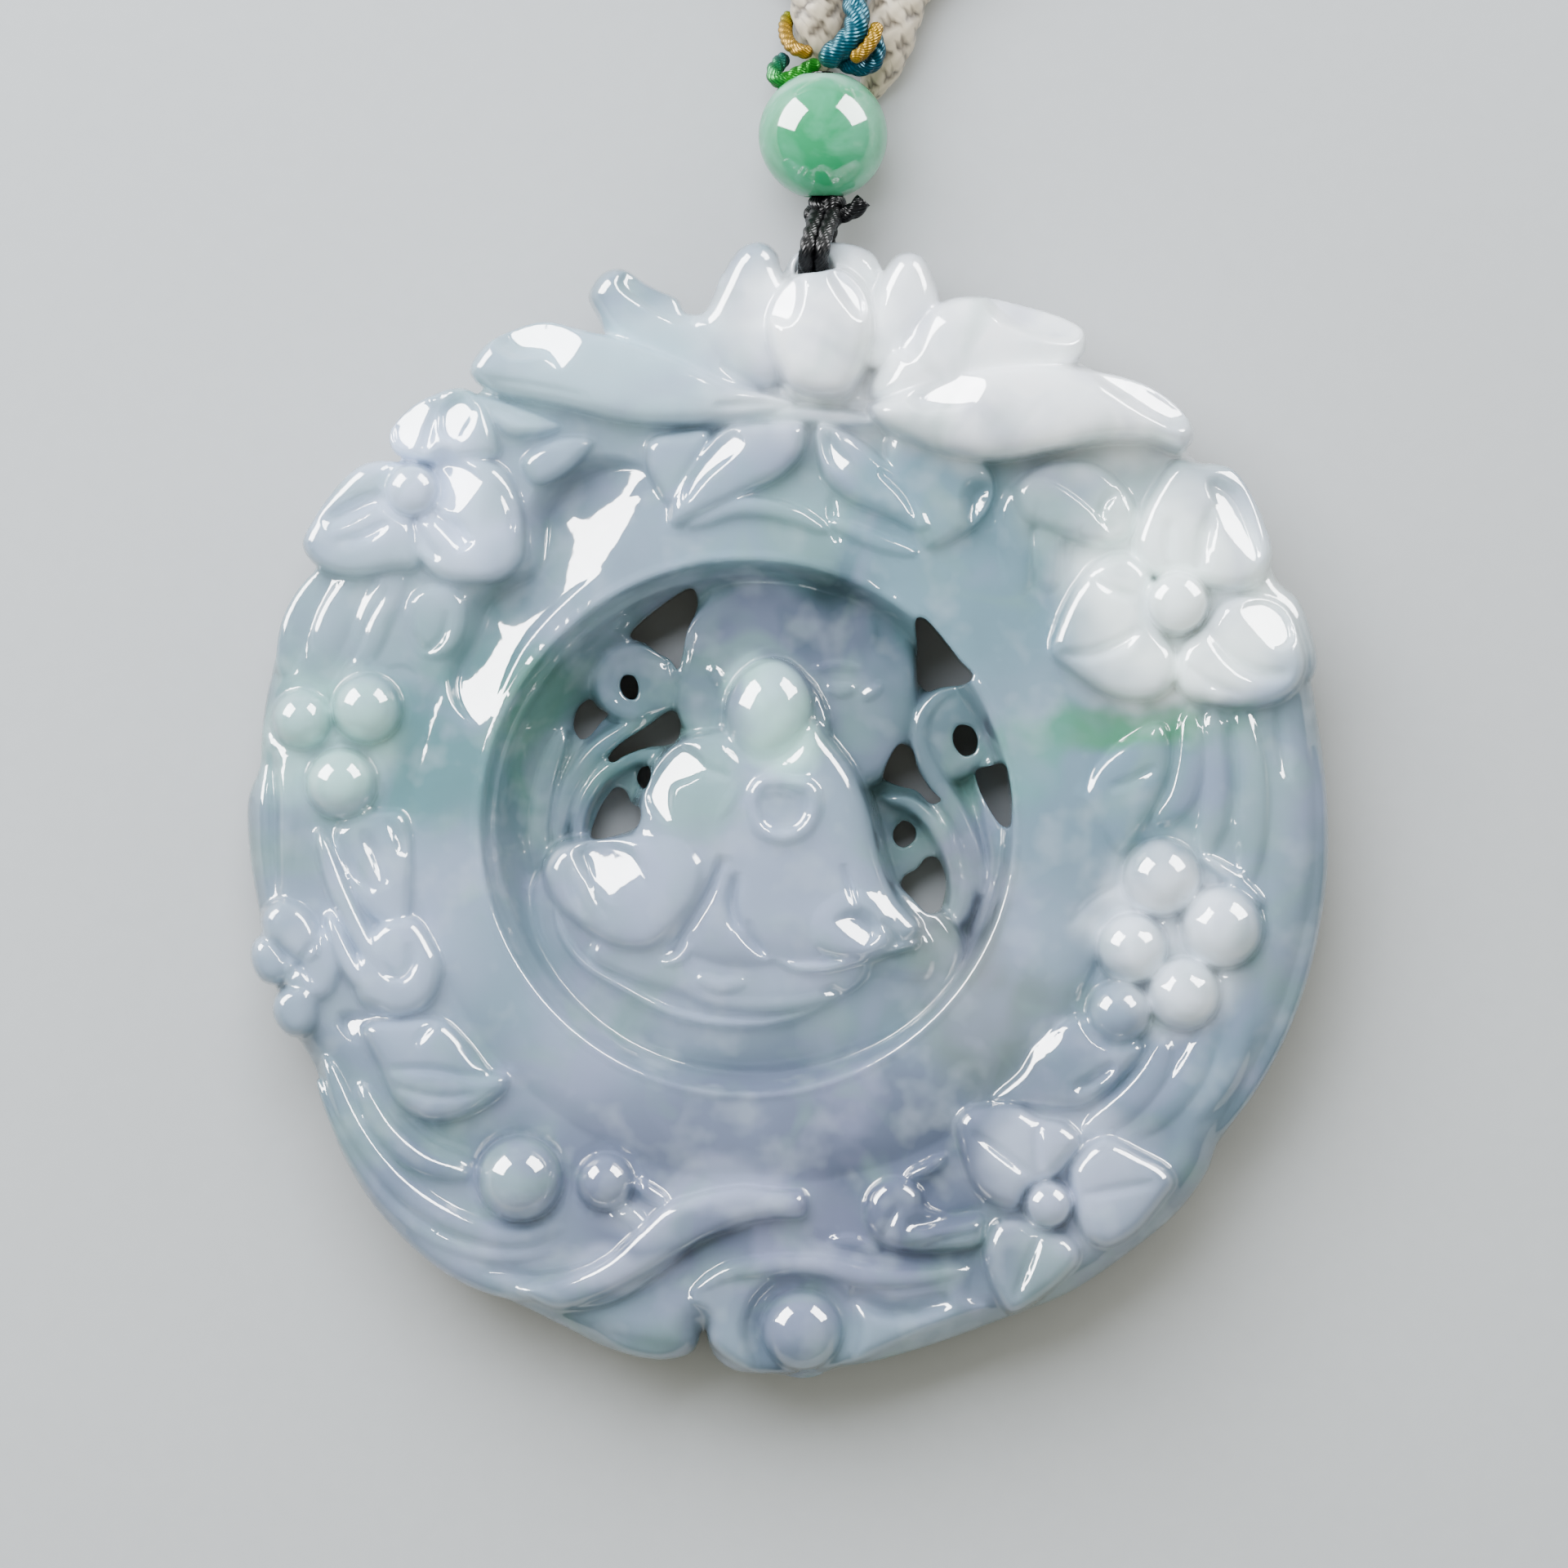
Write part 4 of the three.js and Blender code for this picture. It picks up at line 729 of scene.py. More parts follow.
LOWER_RIGHT_FLOWER: tuple[Cut, ...] = (
    Petal(((11.0, -21.0), (12.2, -20.8), (13.8, -21.3), (15.2, -21.9), (15.6, -22.9), (14.8, -24.0),
           (13.2, -25.3), (11.8, -25.9), (11.0, -25.0), (10.3, -22.9)), 6.9, 8.6, swell=2.0),
    Groove(((13.4, -21.6), (12.8, -23.2), (12.0, -25.2)), 0.5, 0.4),
    Petal(((15.0, -18.1), (16.1, -16.8), (17.0, -16.5), (18.8, -17.3), (20.2, -18.1), (20.6, -18.9),
           (19.9, -20.0), (18.4, -21.7), (16.9, -22.4), (15.8, -21.9), (15.1, -20.2)), 7.2, 8.9, swell=2.2),
    Groove(((15.6, -19.6), (17.4, -19.3), (19.6, -18.9)), 0.5, 0.35),
    Petal(((8.9, -15.7), (9.4, -15.0), (10.6, -14.8), (12.4, -14.9), (13.3, -15.4), (14.9, -15.8),
           (15.6, -16.7), (14.9, -17.9), (14.0, -18.8), (12.7, -19.4), (12.2, -20.3), (11.1, -20.2),
           (9.9, -19.3), (9.2, -17.6)), 7.4, 9.0, swell=2.2),
    Groove(((12.9, -18.6), (11.4, -17.4), (9.8, -16.2)), 0.5, 0.4),
    Groove(((13.4, -18.4), (13.2, -17.0), (13.3, -15.7)), 0.5, 0.35),
    Groove(((13.9, -18.4), (14.8, -17.5), (15.3, -16.8)), 0.4, 0.25),
    Berry((13.85, -20.1), 1.2, 8.5, height=1.1, groove=0.5),
)

LEFT_SIDE: tuple[Cut, ...] = (
    Ridge(((-24.6, 13.6), (-26.0, 11.0), (-26.8, 8.0)), 1.9, 6.5, 0.6),
    Ridge(((-22.6, 13.6), (-24.0, 11.2), (-25.1, 8.4)), 2.1, 6.9, 0.6, blend=0.2),
    Ridge(((-20.6, 13.6), (-21.9, 11.4), (-22.6, 8.8)), 2.0, 7.1, 0.6, blend=0.2),
    Groove(((-21.2, 12.8), (-22.4, 10.8), (-22.9, 9.4), (-23.9, 8.0)), 0.3, 0.3),
    Petal(((-17.3, 12.2), (-18.5, 12.9), (-20.0, 12.3), (-20.3, 10.4), (-19.6, 9.2), (-18.3, 9.0),
           (-17.3, 10.2)), 7.2, 7.75, swell=1.0, blend=0.4, wall=1.5),
    Groove(((-19.9, 11.8), (-20.0, 10.2), (-19.2, 9.4), (-18.4, 10.1), (-18.1, 11.5)), 0.45, 0.4),
    Groove(((-19.5, 8.0), (-20.4, 8.6), (-21.4, 8.6)), 0.4, 0.35, Side.LEFT),
    Ridge(((-27.0, 3.4), (-26.6, 1.4), (-26.8, -0.8), (-26.6, -3.4)), 1.6, 6.5, 0.9),
    Groove(((-27.5, 4.2), (-27.4, 0.4), (-27.3, -4.0)), 0.6, 0.8),
    Petal(((-20.4, 0.7), (-21.7, 0.9), (-23.6, 0.6), (-24.2, -1.0), (-23.4, -3.2), (-22.0, -5.0),
           (-20.4, -5.2), (-20.0, -3.0)), 7.2, 8.2, swell=1.6, blend=0.2),
    Groove(((-23.8, -0.6), (-23.1, -2.4), (-22.0, -3.5)), 0.5, 0.5),
    Groove(((-22.6, -0.2), (-21.8, -1.8), (-21.4, -3.2)), 0.6, 0.4),
    Groove(((-21.3, 0.4), (-20.7, -0.6), (-20.5, -1.6)), 0.5, 0.35),
    Petal(((-19.8, -4.9), (-18.9, -6.1), (-18.4, -7.4), (-18.8, -9.0), (-19.8, -9.9), (-21.4, -10.1),
           (-22.8, -9.4), (-23.2, -7.8), (-22.4, -5.8), (-21.2, -4.9)), 7.3, 8.7, swell=1.8, blend=0.2),
    Groove(((-22.4, -6.2), (-21.5, -7.6), (-20.6, -8.0), (-20.0, -7.2), (-20.2, -6.2)), 0.5, 0.45),
    Ridge(((-24.9, -0.4), (-23.8, -3.6), (-22.4, -6.4), (-21.0, -8.3)), 1.1, 7.9, 0.9),
    Ridge(((-24.4, -4.8), (-23.6, -6.8), (-22.5, -8.4), (-21.2, -8.9)), 1.0, 7.8, 0.9),
    Petal(((-24.6, -7.0), (-24.8, -5.6), (-25.6, -4.3), (-27.0, -3.8), (-28.0, -4.5), (-28.0, -5.8),
           (-27.0, -6.8), (-26.0, -7.6)), 6.4, 8.6, swell=1.5),
    Petal(((-26.6, -6.6), (-27.6, -5.7), (-28.5, -6.0), (-28.7, -7.2), (-28.1, -8.3), (-27.2, -8.5),
           (-26.4, -7.8)), 6.0, 8.2, swell=1.2),
    Petal(((-25.3, -8.4), (-26.4, -8.3), (-27.4, -9.0), (-27.5, -10.2), (-26.7, -11.2), (-25.6, -11.2),
           (-24.9, -10.2)), 6.0, 8.4, swell=1.3),
    Petal(((-23.9, -5.8), (-25.0, -5.4), (-26.6, -6.2), (-27.2, -7.4), (-26.6, -8.6), (-25.2, -9.4),
           (-24.1, -8.8)), 6.8, 8.1, swell=1.4),
    Groove(((-27.4, -5.9), (-26.7, -6.8), (-25.7, -7.6), (-25.3, -8.4)), 0.35, 0.5),
    Groove(((-25.2, -6.1), (-25.8, -7.0), (-26.5, -8.1)), 0.35, 0.4),
    Facet(((-23.6, -10.3), (-21.0, -10.5), (-22.2, -11.4), (-23.0, -11.6)), (-22.4, -10.9), 7.2,
          (0.40, -0.40)),
    Petal(((-22.6, -10.6), (-20.4, -10.2), (-18.3, -10.3), (-17.0, -11.5), (-15.9, -12.9), (-14.9, -13.7),
           (-15.7, -14.6), (-17.4, -15.5), (-19.3, -15.7), (-20.9, -14.7), (-21.7, -13.0)), 7.1, 8.6,
          swell=2.0),
    Ridge(((-21.3, -13.2), (-19.4, -13.7), (-17.4, -13.8), (-15.2, -13.5)), 0.9, 8.2, 0.4),
    Groove(((-21.2, -12.9), (-19.0, -12.9), (-17.2, -13.2), (-15.4, -13.4)), 0.4, 0.5),
    Groove(((-21.0, -13.8), (-18.6, -14.4), (-16.6, -14.2)), 0.35, 0.3),
    Groove(((-19.8, -11.6), (-19.2, -10.8), (-18.8, -10.4)), 0.4, 0.3),
    Groove(((-17.4, -11.6), (-16.8, -12.2), (-16.4, -12.8)), 0.35, 0.25),
    Berry((-25.9, 5.7), 1.6, 6.9, height=1.9),
    Berry((-22.4, 6.3), 1.82, 7.6, height=2.0),
    Berry((-23.8, 2.3), 1.85, 7.7, height=2.1),
)

BOTTOM_LEFT: tuple[Cut, ...] = (
    Ridge(((-22.8, -13.6), (-21.4, -16.2), (-19.4, -17.9), (-16.8, -18.6)), 1.5, 6.9, 1.2),
    Groove(((-20.7, -15.3), (-19.2, -16.7), (-17.0, -17.7)), 0.3, 0.35),
    Groove(((-20.2, -14.9), (-18.8, -16.3), (-16.8, -17.2)), 0.3, 0.3),
    Ridge(((-24.6, -12.4), (-23.2, -15.8), (-21.2, -18.6), (-19.0, -20.4), (-16.6, -21.5), (-14.4, -21.9),
           (-11.6, -21.2)), 1.6, 6.7, 1.2),
    Ridge(((-25.0, -13.6), (-23.0, -17.6), (-20.6, -20.6), (-18.0, -22.3), (-15.2, -22.9), (-12.6, -22.6),
           (-10.6, -21.6)), 1.3, 6.4, 1.2),
    Ridge(((-24.0, -16.2), (-21.2, -20.0), (-18.0, -22.9), (-15.2, -24.2), (-12.6, -24.4), (-10.2, -23.6),
           (-8.4, -22.2)), 2.0, 5.9, 1.5),
    Groove(((-16.4, -23.6), (-13.8, -23.9), (-11.4, -23.6), (-9.2, -22.6)), 0.35, 0.4),
    Petal(((0.9, -19.5), (-0.6, -19.3), (-2.6, -19.15), (-4.6, -19.5), (-6.6, -20.2), (-8.2, -21.6),
           (-9.8, -23.0), (-12.0, -24.0), (-14.6, -24.6), (-13.6, -25.2), (-12.3, -25.7), (-10.2, -25.2),
           (-7.6, -23.9), (-5.1, -22.4), (-2.5, -21.2), (-0.8, -20.9), (0.9, -20.7)), 7.1, 8.35, swell=1.1,
          lean=(0.0, 0.1)),
    Ridge(((-9.6, -19.9), (-8.3, -20.8), (-7.4, -21.8)), 1.2, 7.0, 0.7),
    Ridge(((-8.2, -18.9), (-7.2, -19.6), (-6.4, -20.0)), 0.9, 7.3, 0.6),
    Groove(((-12.6, -25.8), (-9.4, -25.3), (-6.8, -23.7), (-4.6, -21.9), (-2.0, -21.2)), 0.9, 1.1,
           Side.RIGHT),
    Petal(((-10.4, -26.9), (-8.8, -26.6), (-7.0, -26.0), (-5.8, -25.2), (-5.0, -26.2), (-5.1, -27.8),
           (-6.6, -28.5), (-9.2, -28.0)), 5.0, 6.6, swell=1.3),
    Ridge(((-10.0, -27.0), (-8.8, -27.5), (-7.2, -27.0)), 0.6, 6.0, 0.4),
    Berry((-14.3, -18.75), 2.25, 7.2, height=2.6, groove=0.6),
    Berry((-9.75, -18.9), 1.5, 7.2, height=1.6),
)

BOTTOM: tuple[Cut, ...] = (
    Petal(((-4.2, -27.6), (-4.4, -26.2), (-5.7, -25.4), (-5.0, -24.3), (-3.6, -23.4), (-1.4, -22.8),
           (1.4, -22.7), (4.0, -22.9), (6.6, -23.3), (8.8, -23.1), (10.2, -23.4), (10.0, -24.8),
           (10.9, -25.6), (7.4, -27.0), (3.9, -28.5), (1.6, -29.1), (-2.0, -29.1)), 5.7, 7.5, swell=1.7),
    Ridge(((-5.0, -24.8), (-3.2, -23.8), (-0.6, -23.4), (2.0, -23.5), (4.6, -24.0), (7.2, -24.0),
           (9.6, -23.6)), 1.3, 7.1, 0.9),
    Groove(((3.2, -24.9), (5.6, -25.8), (8.8, -25.2)), 0.9, 1.0),
    Groove(((1.2, -21.9), (4.4, -22.4), (7.6, -22.9), (10.0, -22.6)), 0.7, 0.5),
    Ridge(((3.8, -27.6), (5.8, -26.9), (8.4, -26.2)), 1.1, 6.4, 0.6),
    Berry((0.75, -26.9), 2.8, 3.4, height=2.0, groove=0.8),
    Petal(((10.4, -20.6), (8.6, -20.6), (7.4, -20.2), (7.1, -19.3), (6.2, -18.7), (5.2, -18.7),
           (4.3, -19.4), (4.0, -20.6), (4.4, -21.7), (5.6, -22.5), (8.2, -22.6), (10.3, -22.2)), 6.9, 8.6,
          swell=1.5),
    Groove(((6.2, -21.2), (8.4, -20.9), (10.6, -20.5)), 0.7, 0.8),
    Groove(((6.6, -22.4), (8.6, -21.9), (10.3, -21.6)), 0.4, 0.4),
    Groove(((5.0, -22.3), (5.4, -21.0), (6.0, -20.0)), 0.4, 0.25),
    Ridge(((2.2, -22.0), (3.6, -22.1), (4.8, -22.6)), 0.7, 7.0, 0.5),
    Ridge(((6.4, -18.6), (7.4, -18.2), (8.3, -17.6)), 0.6, 7.6, 0.4),
    Berry((0.75, -26.85), 2.15, 6.3, height=2.0, groove=0.5),
)

RIGHT_SIDE: tuple[Cut, ...] = (
    Petal(((19.9, 5.5), (18.3, 4.9), (16.9, 4.0), (15.6, 2.8), (14.9, 1.7), (15.8, 0.8), (16.6, -0.4),
           (17.6, -1.4), (18.6, -0.4), (19.8, 1.8), (20.4, 3.8)), 7.35, 8.1, swell=1.5),
    Groove(((15.7, 1.6), (16.3, 3.1), (17.4, 4.2), (19.4, 5.2)), 0.4, 0.45),
    Groove(((17.0, 2.0), (18.2, 2.4), (19.6, 3.2)), 0.5, 0.35),
    Ridge(((21.4, 6.2), (21.4, 3.4), (20.8, 1.4), (19.6, 0.2)), 1.7, 7.2, 0.6),
    Ridge(((22.6, 6.2), (23.0, 3.4), (22.8, 0.8), (22.0, -1.6)), 1.8, 7.1, 0.7),
    Ridge(((24.1, 6.4), (24.7, 2.8), (24.7, -0.4), (24.3, -3.4)), 1.8, 7.0, 0.7),
    Ridge(((25.6, 6.8), (26.2, 2.8), (26.3, -1.2), (25.8, -5.2), (24.9, -8.6)), 1.8, 6.6, 0.7),
    Ridge(((27.1, 7.2), (27.8, 2.6), (27.8, -2.2), (27.1, -6.8), (25.6, -11.2), (23.4, -15.0),
           (20.8, -17.8)), 2.0, 5.7, 0.9),
    Groove(((26.0, 6.4), (26.2, 4.4), (26.6, 2.4)), 0.5, 0.4),
    Groove(((23.4, 5.4), (23.7, 2.6), (23.5, 0.2)), 0.6, 0.5),
    Ridge(((24.7, -8.0), (23.9, -11.4), (22.4, -14.2), (20.2, -16.4)), 1.9, 6.7, 0.7),
    Ridge(((22.6, -10.4), (21.4, -13.2), (19.4, -15.4), (17.2, -16.6)), 2.0, 6.9, 0.7),
    Ridge(((20.1, -11.4), (19.4, -13.2), (18.0, -14.8), (15.8, -16.3)), 1.8, 7.2, 0.6),
    Ridge(((22.0, -1.6), (23.6, -2.6), (25.3, -4.1)), 0.7, 7.4, 0.7),
    Ridge(((24.2, -2.4), (23.6, -3.2), (22.9, -4.0)), 0.6, 7.5, 0.6),
    Petal(((18.9, -11.6), (17.2, -10.8), (15.6, -10.0), (13.2, -11.6), (12.4, -13.0), (10.9, -14.5),
           (12.6, -14.8), (15.6, -14.9), (17.4, -13.8)), 7.35, 8.15, swell=1.4),
    Facet(((12.7, -11.9), (14.4, -11.0), (14.2, -11.6), (13.0, -12.4)), (13.6, -11.8), 7.9, (0.35, -0.45)),
    Groove(((17.4, -12.6), (16.4, -13.4), (15.2, -14.0)), 0.6, 0.6),
    Groove(((18.6, -12.2), (17.6, -13.6), (16.2, -14.6)), 0.5, 0.4),
    Groove(((17.9, -3.0), (16.2, -3.9), (15.0, -5.2)), 0.4, 0.25),
    Groove(((17.4, -4.6), (16.9, -6.2), (16.3, -7.8), (15.2, -9.6)), 0.5, 0.35),
    Berry((19.9, -2.7), 2.05, 7.5, height=2.4),
    Berry((23.1, -5.35), 2.2, 7.2, height=2.5),
    Berry((18.3, -6.5), 1.85, 7.4, height=2.1),
    Berry((21.05, -8.9), 1.95, 7.0, height=2.2),
    Berry((17.6, -9.9), 1.7, 7.1, height=2.0),
)


@dataclass
class JadeCarving:
    """The carved pendant itself, one stone. Its sizes are in millimetres.

    The ring is the smooth band round the well, the ground is what the flowers stand on, and the lotus is cut
    back behind, above `lotus_cut_y`.
    """

    pitch: float = 0.115
    low: Point2 = (-30.4, -30.8)
    high: Point2 = (30.4, 32.6)
    low_z: float = -0.6
    high_z: float = 12.4
    ring_centre: Point2 = (-1.0, 0.0)
    ring_radius: float = 19.0
    ring_z: float = 8.0
    ring_round: float = 4.0
    ring_sunk: float = 0.3
    ring_wall: float = 3.0
    ground_z: float = 7.2
    rim_z: float = 4.4
    rim_round: float = 2.2
    rim_wall: float = 4.0
    chamfer_depth: float = 1.9
    chamfer_width: float = 2.4
    well_centre: Point2 = (-2.2, 0.0)
    well_radius: float = 14.35
    well_drop: float = 0.45
    well_bend: float = 1.15
    well_top: float = 0.3
    lip_height: float = 0.2
    lip_width: float = 0.2
    step_in: float = 1.0
    step_height: float = 0.2
    step_width: float = 0.18
    floor_centre: Point2 = (-0.7, -0.2)
    floor_radius: float = 11.9
    floor_z: float = 2.6
    lotus_cut_y: float = 25.2
    lotus_underside_z: float = 3.0
    lotus_edge_height: float = 1.1
    lotus_edge_width: float = 1.6
    silk_hole_front: Point3 = (1.4, 30.0, 7.4)
    silk_hole_back: Point3 = (1.4, 28.7, 1.0)
    silk_hole_radius: float = 1.05
    most_triangles: int = 192000

    def plaque(self, stone: Stone) -> None:
        """Leaves the round body: its rim, its ground, and the smooth ring round the well.

        Args:
            stone: the stone that is carved.
        """
        loop = curve_through(PLATE_OUTLINE, step=0.5, closed=True)
        distance = loop_distance(stone.x, stone.y, loop)
        distance = np.maximum(distance, stone.y - self.lotus_cut_y)
        body = self.rim_z + (self.ground_z - self.rim_z) * dome(-distance / self.rim_round)
        body = body - self.rim_wall * np.maximum(distance, 0)
        from_ring = np.hypot(stone.x - self.ring_centre[0], stone.y - self.ring_centre[1]) - self.ring_radius
        ring_rise = self.ring_z + self.ring_sunk - self.ground_z
        ring = self.ground_z - self.ring_sunk + ring_rise * dome(-from_ring / self.ring_round)
        ring = ring - self.ring_wall * np.maximum(from_ring, 0)
        stone.face = smooth_max(body, ring, 0.4)
        stone.plan = distance
        chamfer = self.chamfer_depth * (1 - dome(-distance / self.chamfer_width))
        stone.back = np.where(distance < 0, chamfer, self.lotus_underside_z)

    def well(self, stone: Stone) -> None:
        """Sinks the well: its lip, its uneven sloping wall and its floor.

        Args:
            stone: the stone that is carved.
        """
        from_lip = self.well_radius - np.hypot(stone.x - self.well_centre[0], stone.y - self.well_centre[1])
        from_floor = np.hypot(stone.x - self.floor_centre[0], stone.y - self.floor_centre[1])
        from_floor = np.maximum(from_floor - self.floor_radius, 0)
        stone.face = stone.face + self.lip_height * np.exp(-((from_lip / self.lip_width) ** 2))
        share = from_floor / (from_floor + np.maximum(from_lip - self.well_top, 0) + 1e-6)
        wall = self.floor_z + (self.ring_z - self.well_drop - self.floor_z) * share**self.well_bend
        step = self.step_height * np.exp(-(((from_lip - self.step_in) / self.step_width) ** 2))
        outer_wall = 6
        inside = wall + step + outer_wall * np.maximum(self.well_top - from_lip, 0)
        stone.face = smooth_min(stone.face, inside, 0.12)

    def block(self) -> tuple[np.ndarray, np.ndarray]:
        """Carves the whole stone.

        Returns:
            The stone as a block of signed distances, and the block's levels.
        """
        stone = Stone(self.low, self.high, self.pitch)
        self.plaque(stone)
        RING_FLAT.carve(stone)
        self.well(stone)
        for cuts in (CLOUDS, FIGURE, UNDER_LOTUS, LEFT_SIDE, RIGHT_SIDE, BOTTOM_LEFT, BOTTOM, LOTUS,
                     UPPER_LEFT_FLOWER, UPPER_RIGHT_FLOWER, LOWER_RIGHT_FLOWER, PIERCINGS):
            for cut in cuts:
                cut.carve(stone)
        stone.polish(1)
        edge = self.lotus_edge_height * (1 - dome(-stone.plan / self.lotus_edge_width))
        lotus = stone.back > self.lotus_underside_z - 0.5
        stone.back = np.where(lotus, self.lotus_underside_z + edge, stone.back)
        block, levels = stone.solid(self.low_z, self.high_z)
        self.drill(stone, block, levels)
        return block, levels

    def drill(self, stone: Stone, block: np.ndarray, levels: np.ndarray) -> None:
        """Drills the slanting hole for the silk, with a softened mouth.

        Args:
            stone: the stone's maps, which say where the block lies in plan.
            block: the signed distances, which are changed.
            levels: the block's levels.
        """
        front, back = np.array(self.silk_hole_front), np.array(self.silk_hole_back)
        area = stone.window(np.array([front[:2], back[:2]]), margin=2.5)
        columns = (stone.x[area][..., None], stone.y[area][..., None], levels)
        places = np.stack(np.broadcast_arrays(*columns), axis=-1)
        run = (back - front) / np.linalg.norm(back - front)
        offset = places - front
        across = offset - (offset @ run)[..., None] * run
        distance = np.linalg.norm(across, axis=-1) - self.silk_hole_radius
        block[area] = smooth_max(block[area], -distance.astype(np.float32), 0.3)

    def normals(self, places: np.ndarray, block: np.ndarray, origin: np.ndarray) -> np.ndarray:
        """Reads which way the stone's surface faces at some places from the block of distances.

        Args:
            places: points on the surface, in millimetres.
            block: the signed distances.
            origin: the block's lowest corner.

        Returns:
            A unit vector for each place.
        """
        index = (places - origin) / self.pitch
        limit = np.array(block.shape) - 2

        def sample(at: np.ndarray) -> np.ndarray:
            """Reads the distance at places between the block's points."""
            low = np.clip(np.floor(at).astype(int), 0, limit)
            share = at - low
            total = np.zeros(len(at))
            for corner in np.ndindex(2, 2, 2):
                weight = np.prod(np.where(corner, share, 1 - share), axis=1)
                total += weight * block[low[:, 0] + corner[0], low[:, 1] + corner[1], low[:, 2] + corner[2]]
            return total

        steps = np.eye(3) * 0.7
        slope = np.stack([sample(index + step) - sample(index - step) for step in steps], axis=1)
        return slope / np.maximum(np.linalg.norm(slope, axis=1), 1e-9)[:, None]

    def mesh(self) -> bpy.types.Mesh:
        """Turns the carved block into one closed mesh.

        Returns:
            The mesh, thinned to `most_triangles`, with its shading read from the block.
        """
        block, levels = self.block()
        band = 3 * self.pitch
        grid = openvdb.FloatGrid(background=band)
        grid.copyFromArray(np.clip(block, -band, band).astype(np.float32))
        points, quads = grid.convertToQuads(0.0)
        origin = np.array([self.low[0], self.low[1], levels[0]])
        places = (points * self.pitch + origin) * MM
        mesh = mesh_from(places, quads, "carved_jade")
        LOG.info("carved_jade: %d faces before thinning", len(quads))
        thin = bpy.data.objects.new("thinning", mesh)
        bpy.context.collection.objects.link(thin)
        decimate = thin.modifiers.new("decimate", "DECIMATE")
        decimate.ratio = min(1.0, self.most_triangles / (2 * len(quads)))
        decimate.use_collapse_triangulate = True
        evaluated = thin.evaluated_get(bpy.context.evaluated_depsgraph_get())
        thinned = bpy.data.meshes.new_from_object(evaluated)
        bpy.data.objects.remove(thin)
        thinned.name = "carved_jade"
        thinned.shade_smooth()
        corners = np.zeros(3 * len(thinned.vertices))
        thinned.vertices.foreach_get("co", corners)
        facing = self.normals(corners.reshape(-1, 3) / MM, block, origin)
        thinned.normals_split_custom_set_from_vertices(facing.tolist())
        return thinned

    def build(self, material: bpy.types.Material) -> bpy.types.Object:
        """Makes the carving in place of its solid.

        Args:
            material: the stone's finish.

        Returns:
            The carving.
        """
        piece = piece_from(self.mesh(), "carved_jade", material)
        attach(piece, "root")
        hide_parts("jade_carving")
        return piece


# Meshes


def mesh_from(places: np.ndarray, faces: np.ndarray, name: str) -> bpy.types.Mesh:
    """Makes a smooth mesh.

    Args:
        places: its points, in metres.
        faces: each face's corners, three or four of them.
        name: the mesh's name.

    Returns:
        The mesh.
    """
    mesh = bpy.data.meshes.new(name)
    sides = faces.shape[1]
    mesh.vertices.add(len(places))
    mesh.vertices.foreach_set("co", places.astype(np.float32).ravel())
    mesh.loops.add(faces.size)
    mesh.loops.foreach_set("vertex_index", faces.astype(np.int32).ravel())
    mesh.polygons.add(len(faces))
    mesh.polygons.foreach_set("loop_start", np.arange(0, faces.size, sides, dtype=np.int32))
    mesh.update(calc_edges=True)
    mesh.validate()
    mesh.shade_smooth()
    return mesh


def piece_from(mesh: bpy.types.Mesh, name: str, material: bpy.types.Material) -> bpy.types.Object:
    """Makes an object at the origin.

    Args:
        mesh: its mesh.
        name: its name.
        material: its finish.

    Returns:
        The object.
    """
    piece = bpy.data.objects.new(name, mesh)
    mesh.materials.clear()
    mesh.materials.append(material)
    bpy.context.collection.objects.link(piece)
    return piece


def joined(parts: Sequence[bpy.types.Object], name: str) -> bpy.types.Object:
    """Joins objects into the first of them.

    Args:
        parts: the objects.
        name: the name that the first takes.

    Returns:
        The first object, which holds them all.
    """
    with bpy.context.temp_override(active_object=parts[0], selected_editable_objects=list(parts)):
        bpy.ops.object.join()
    parts[0].name = name
    return parts[0]


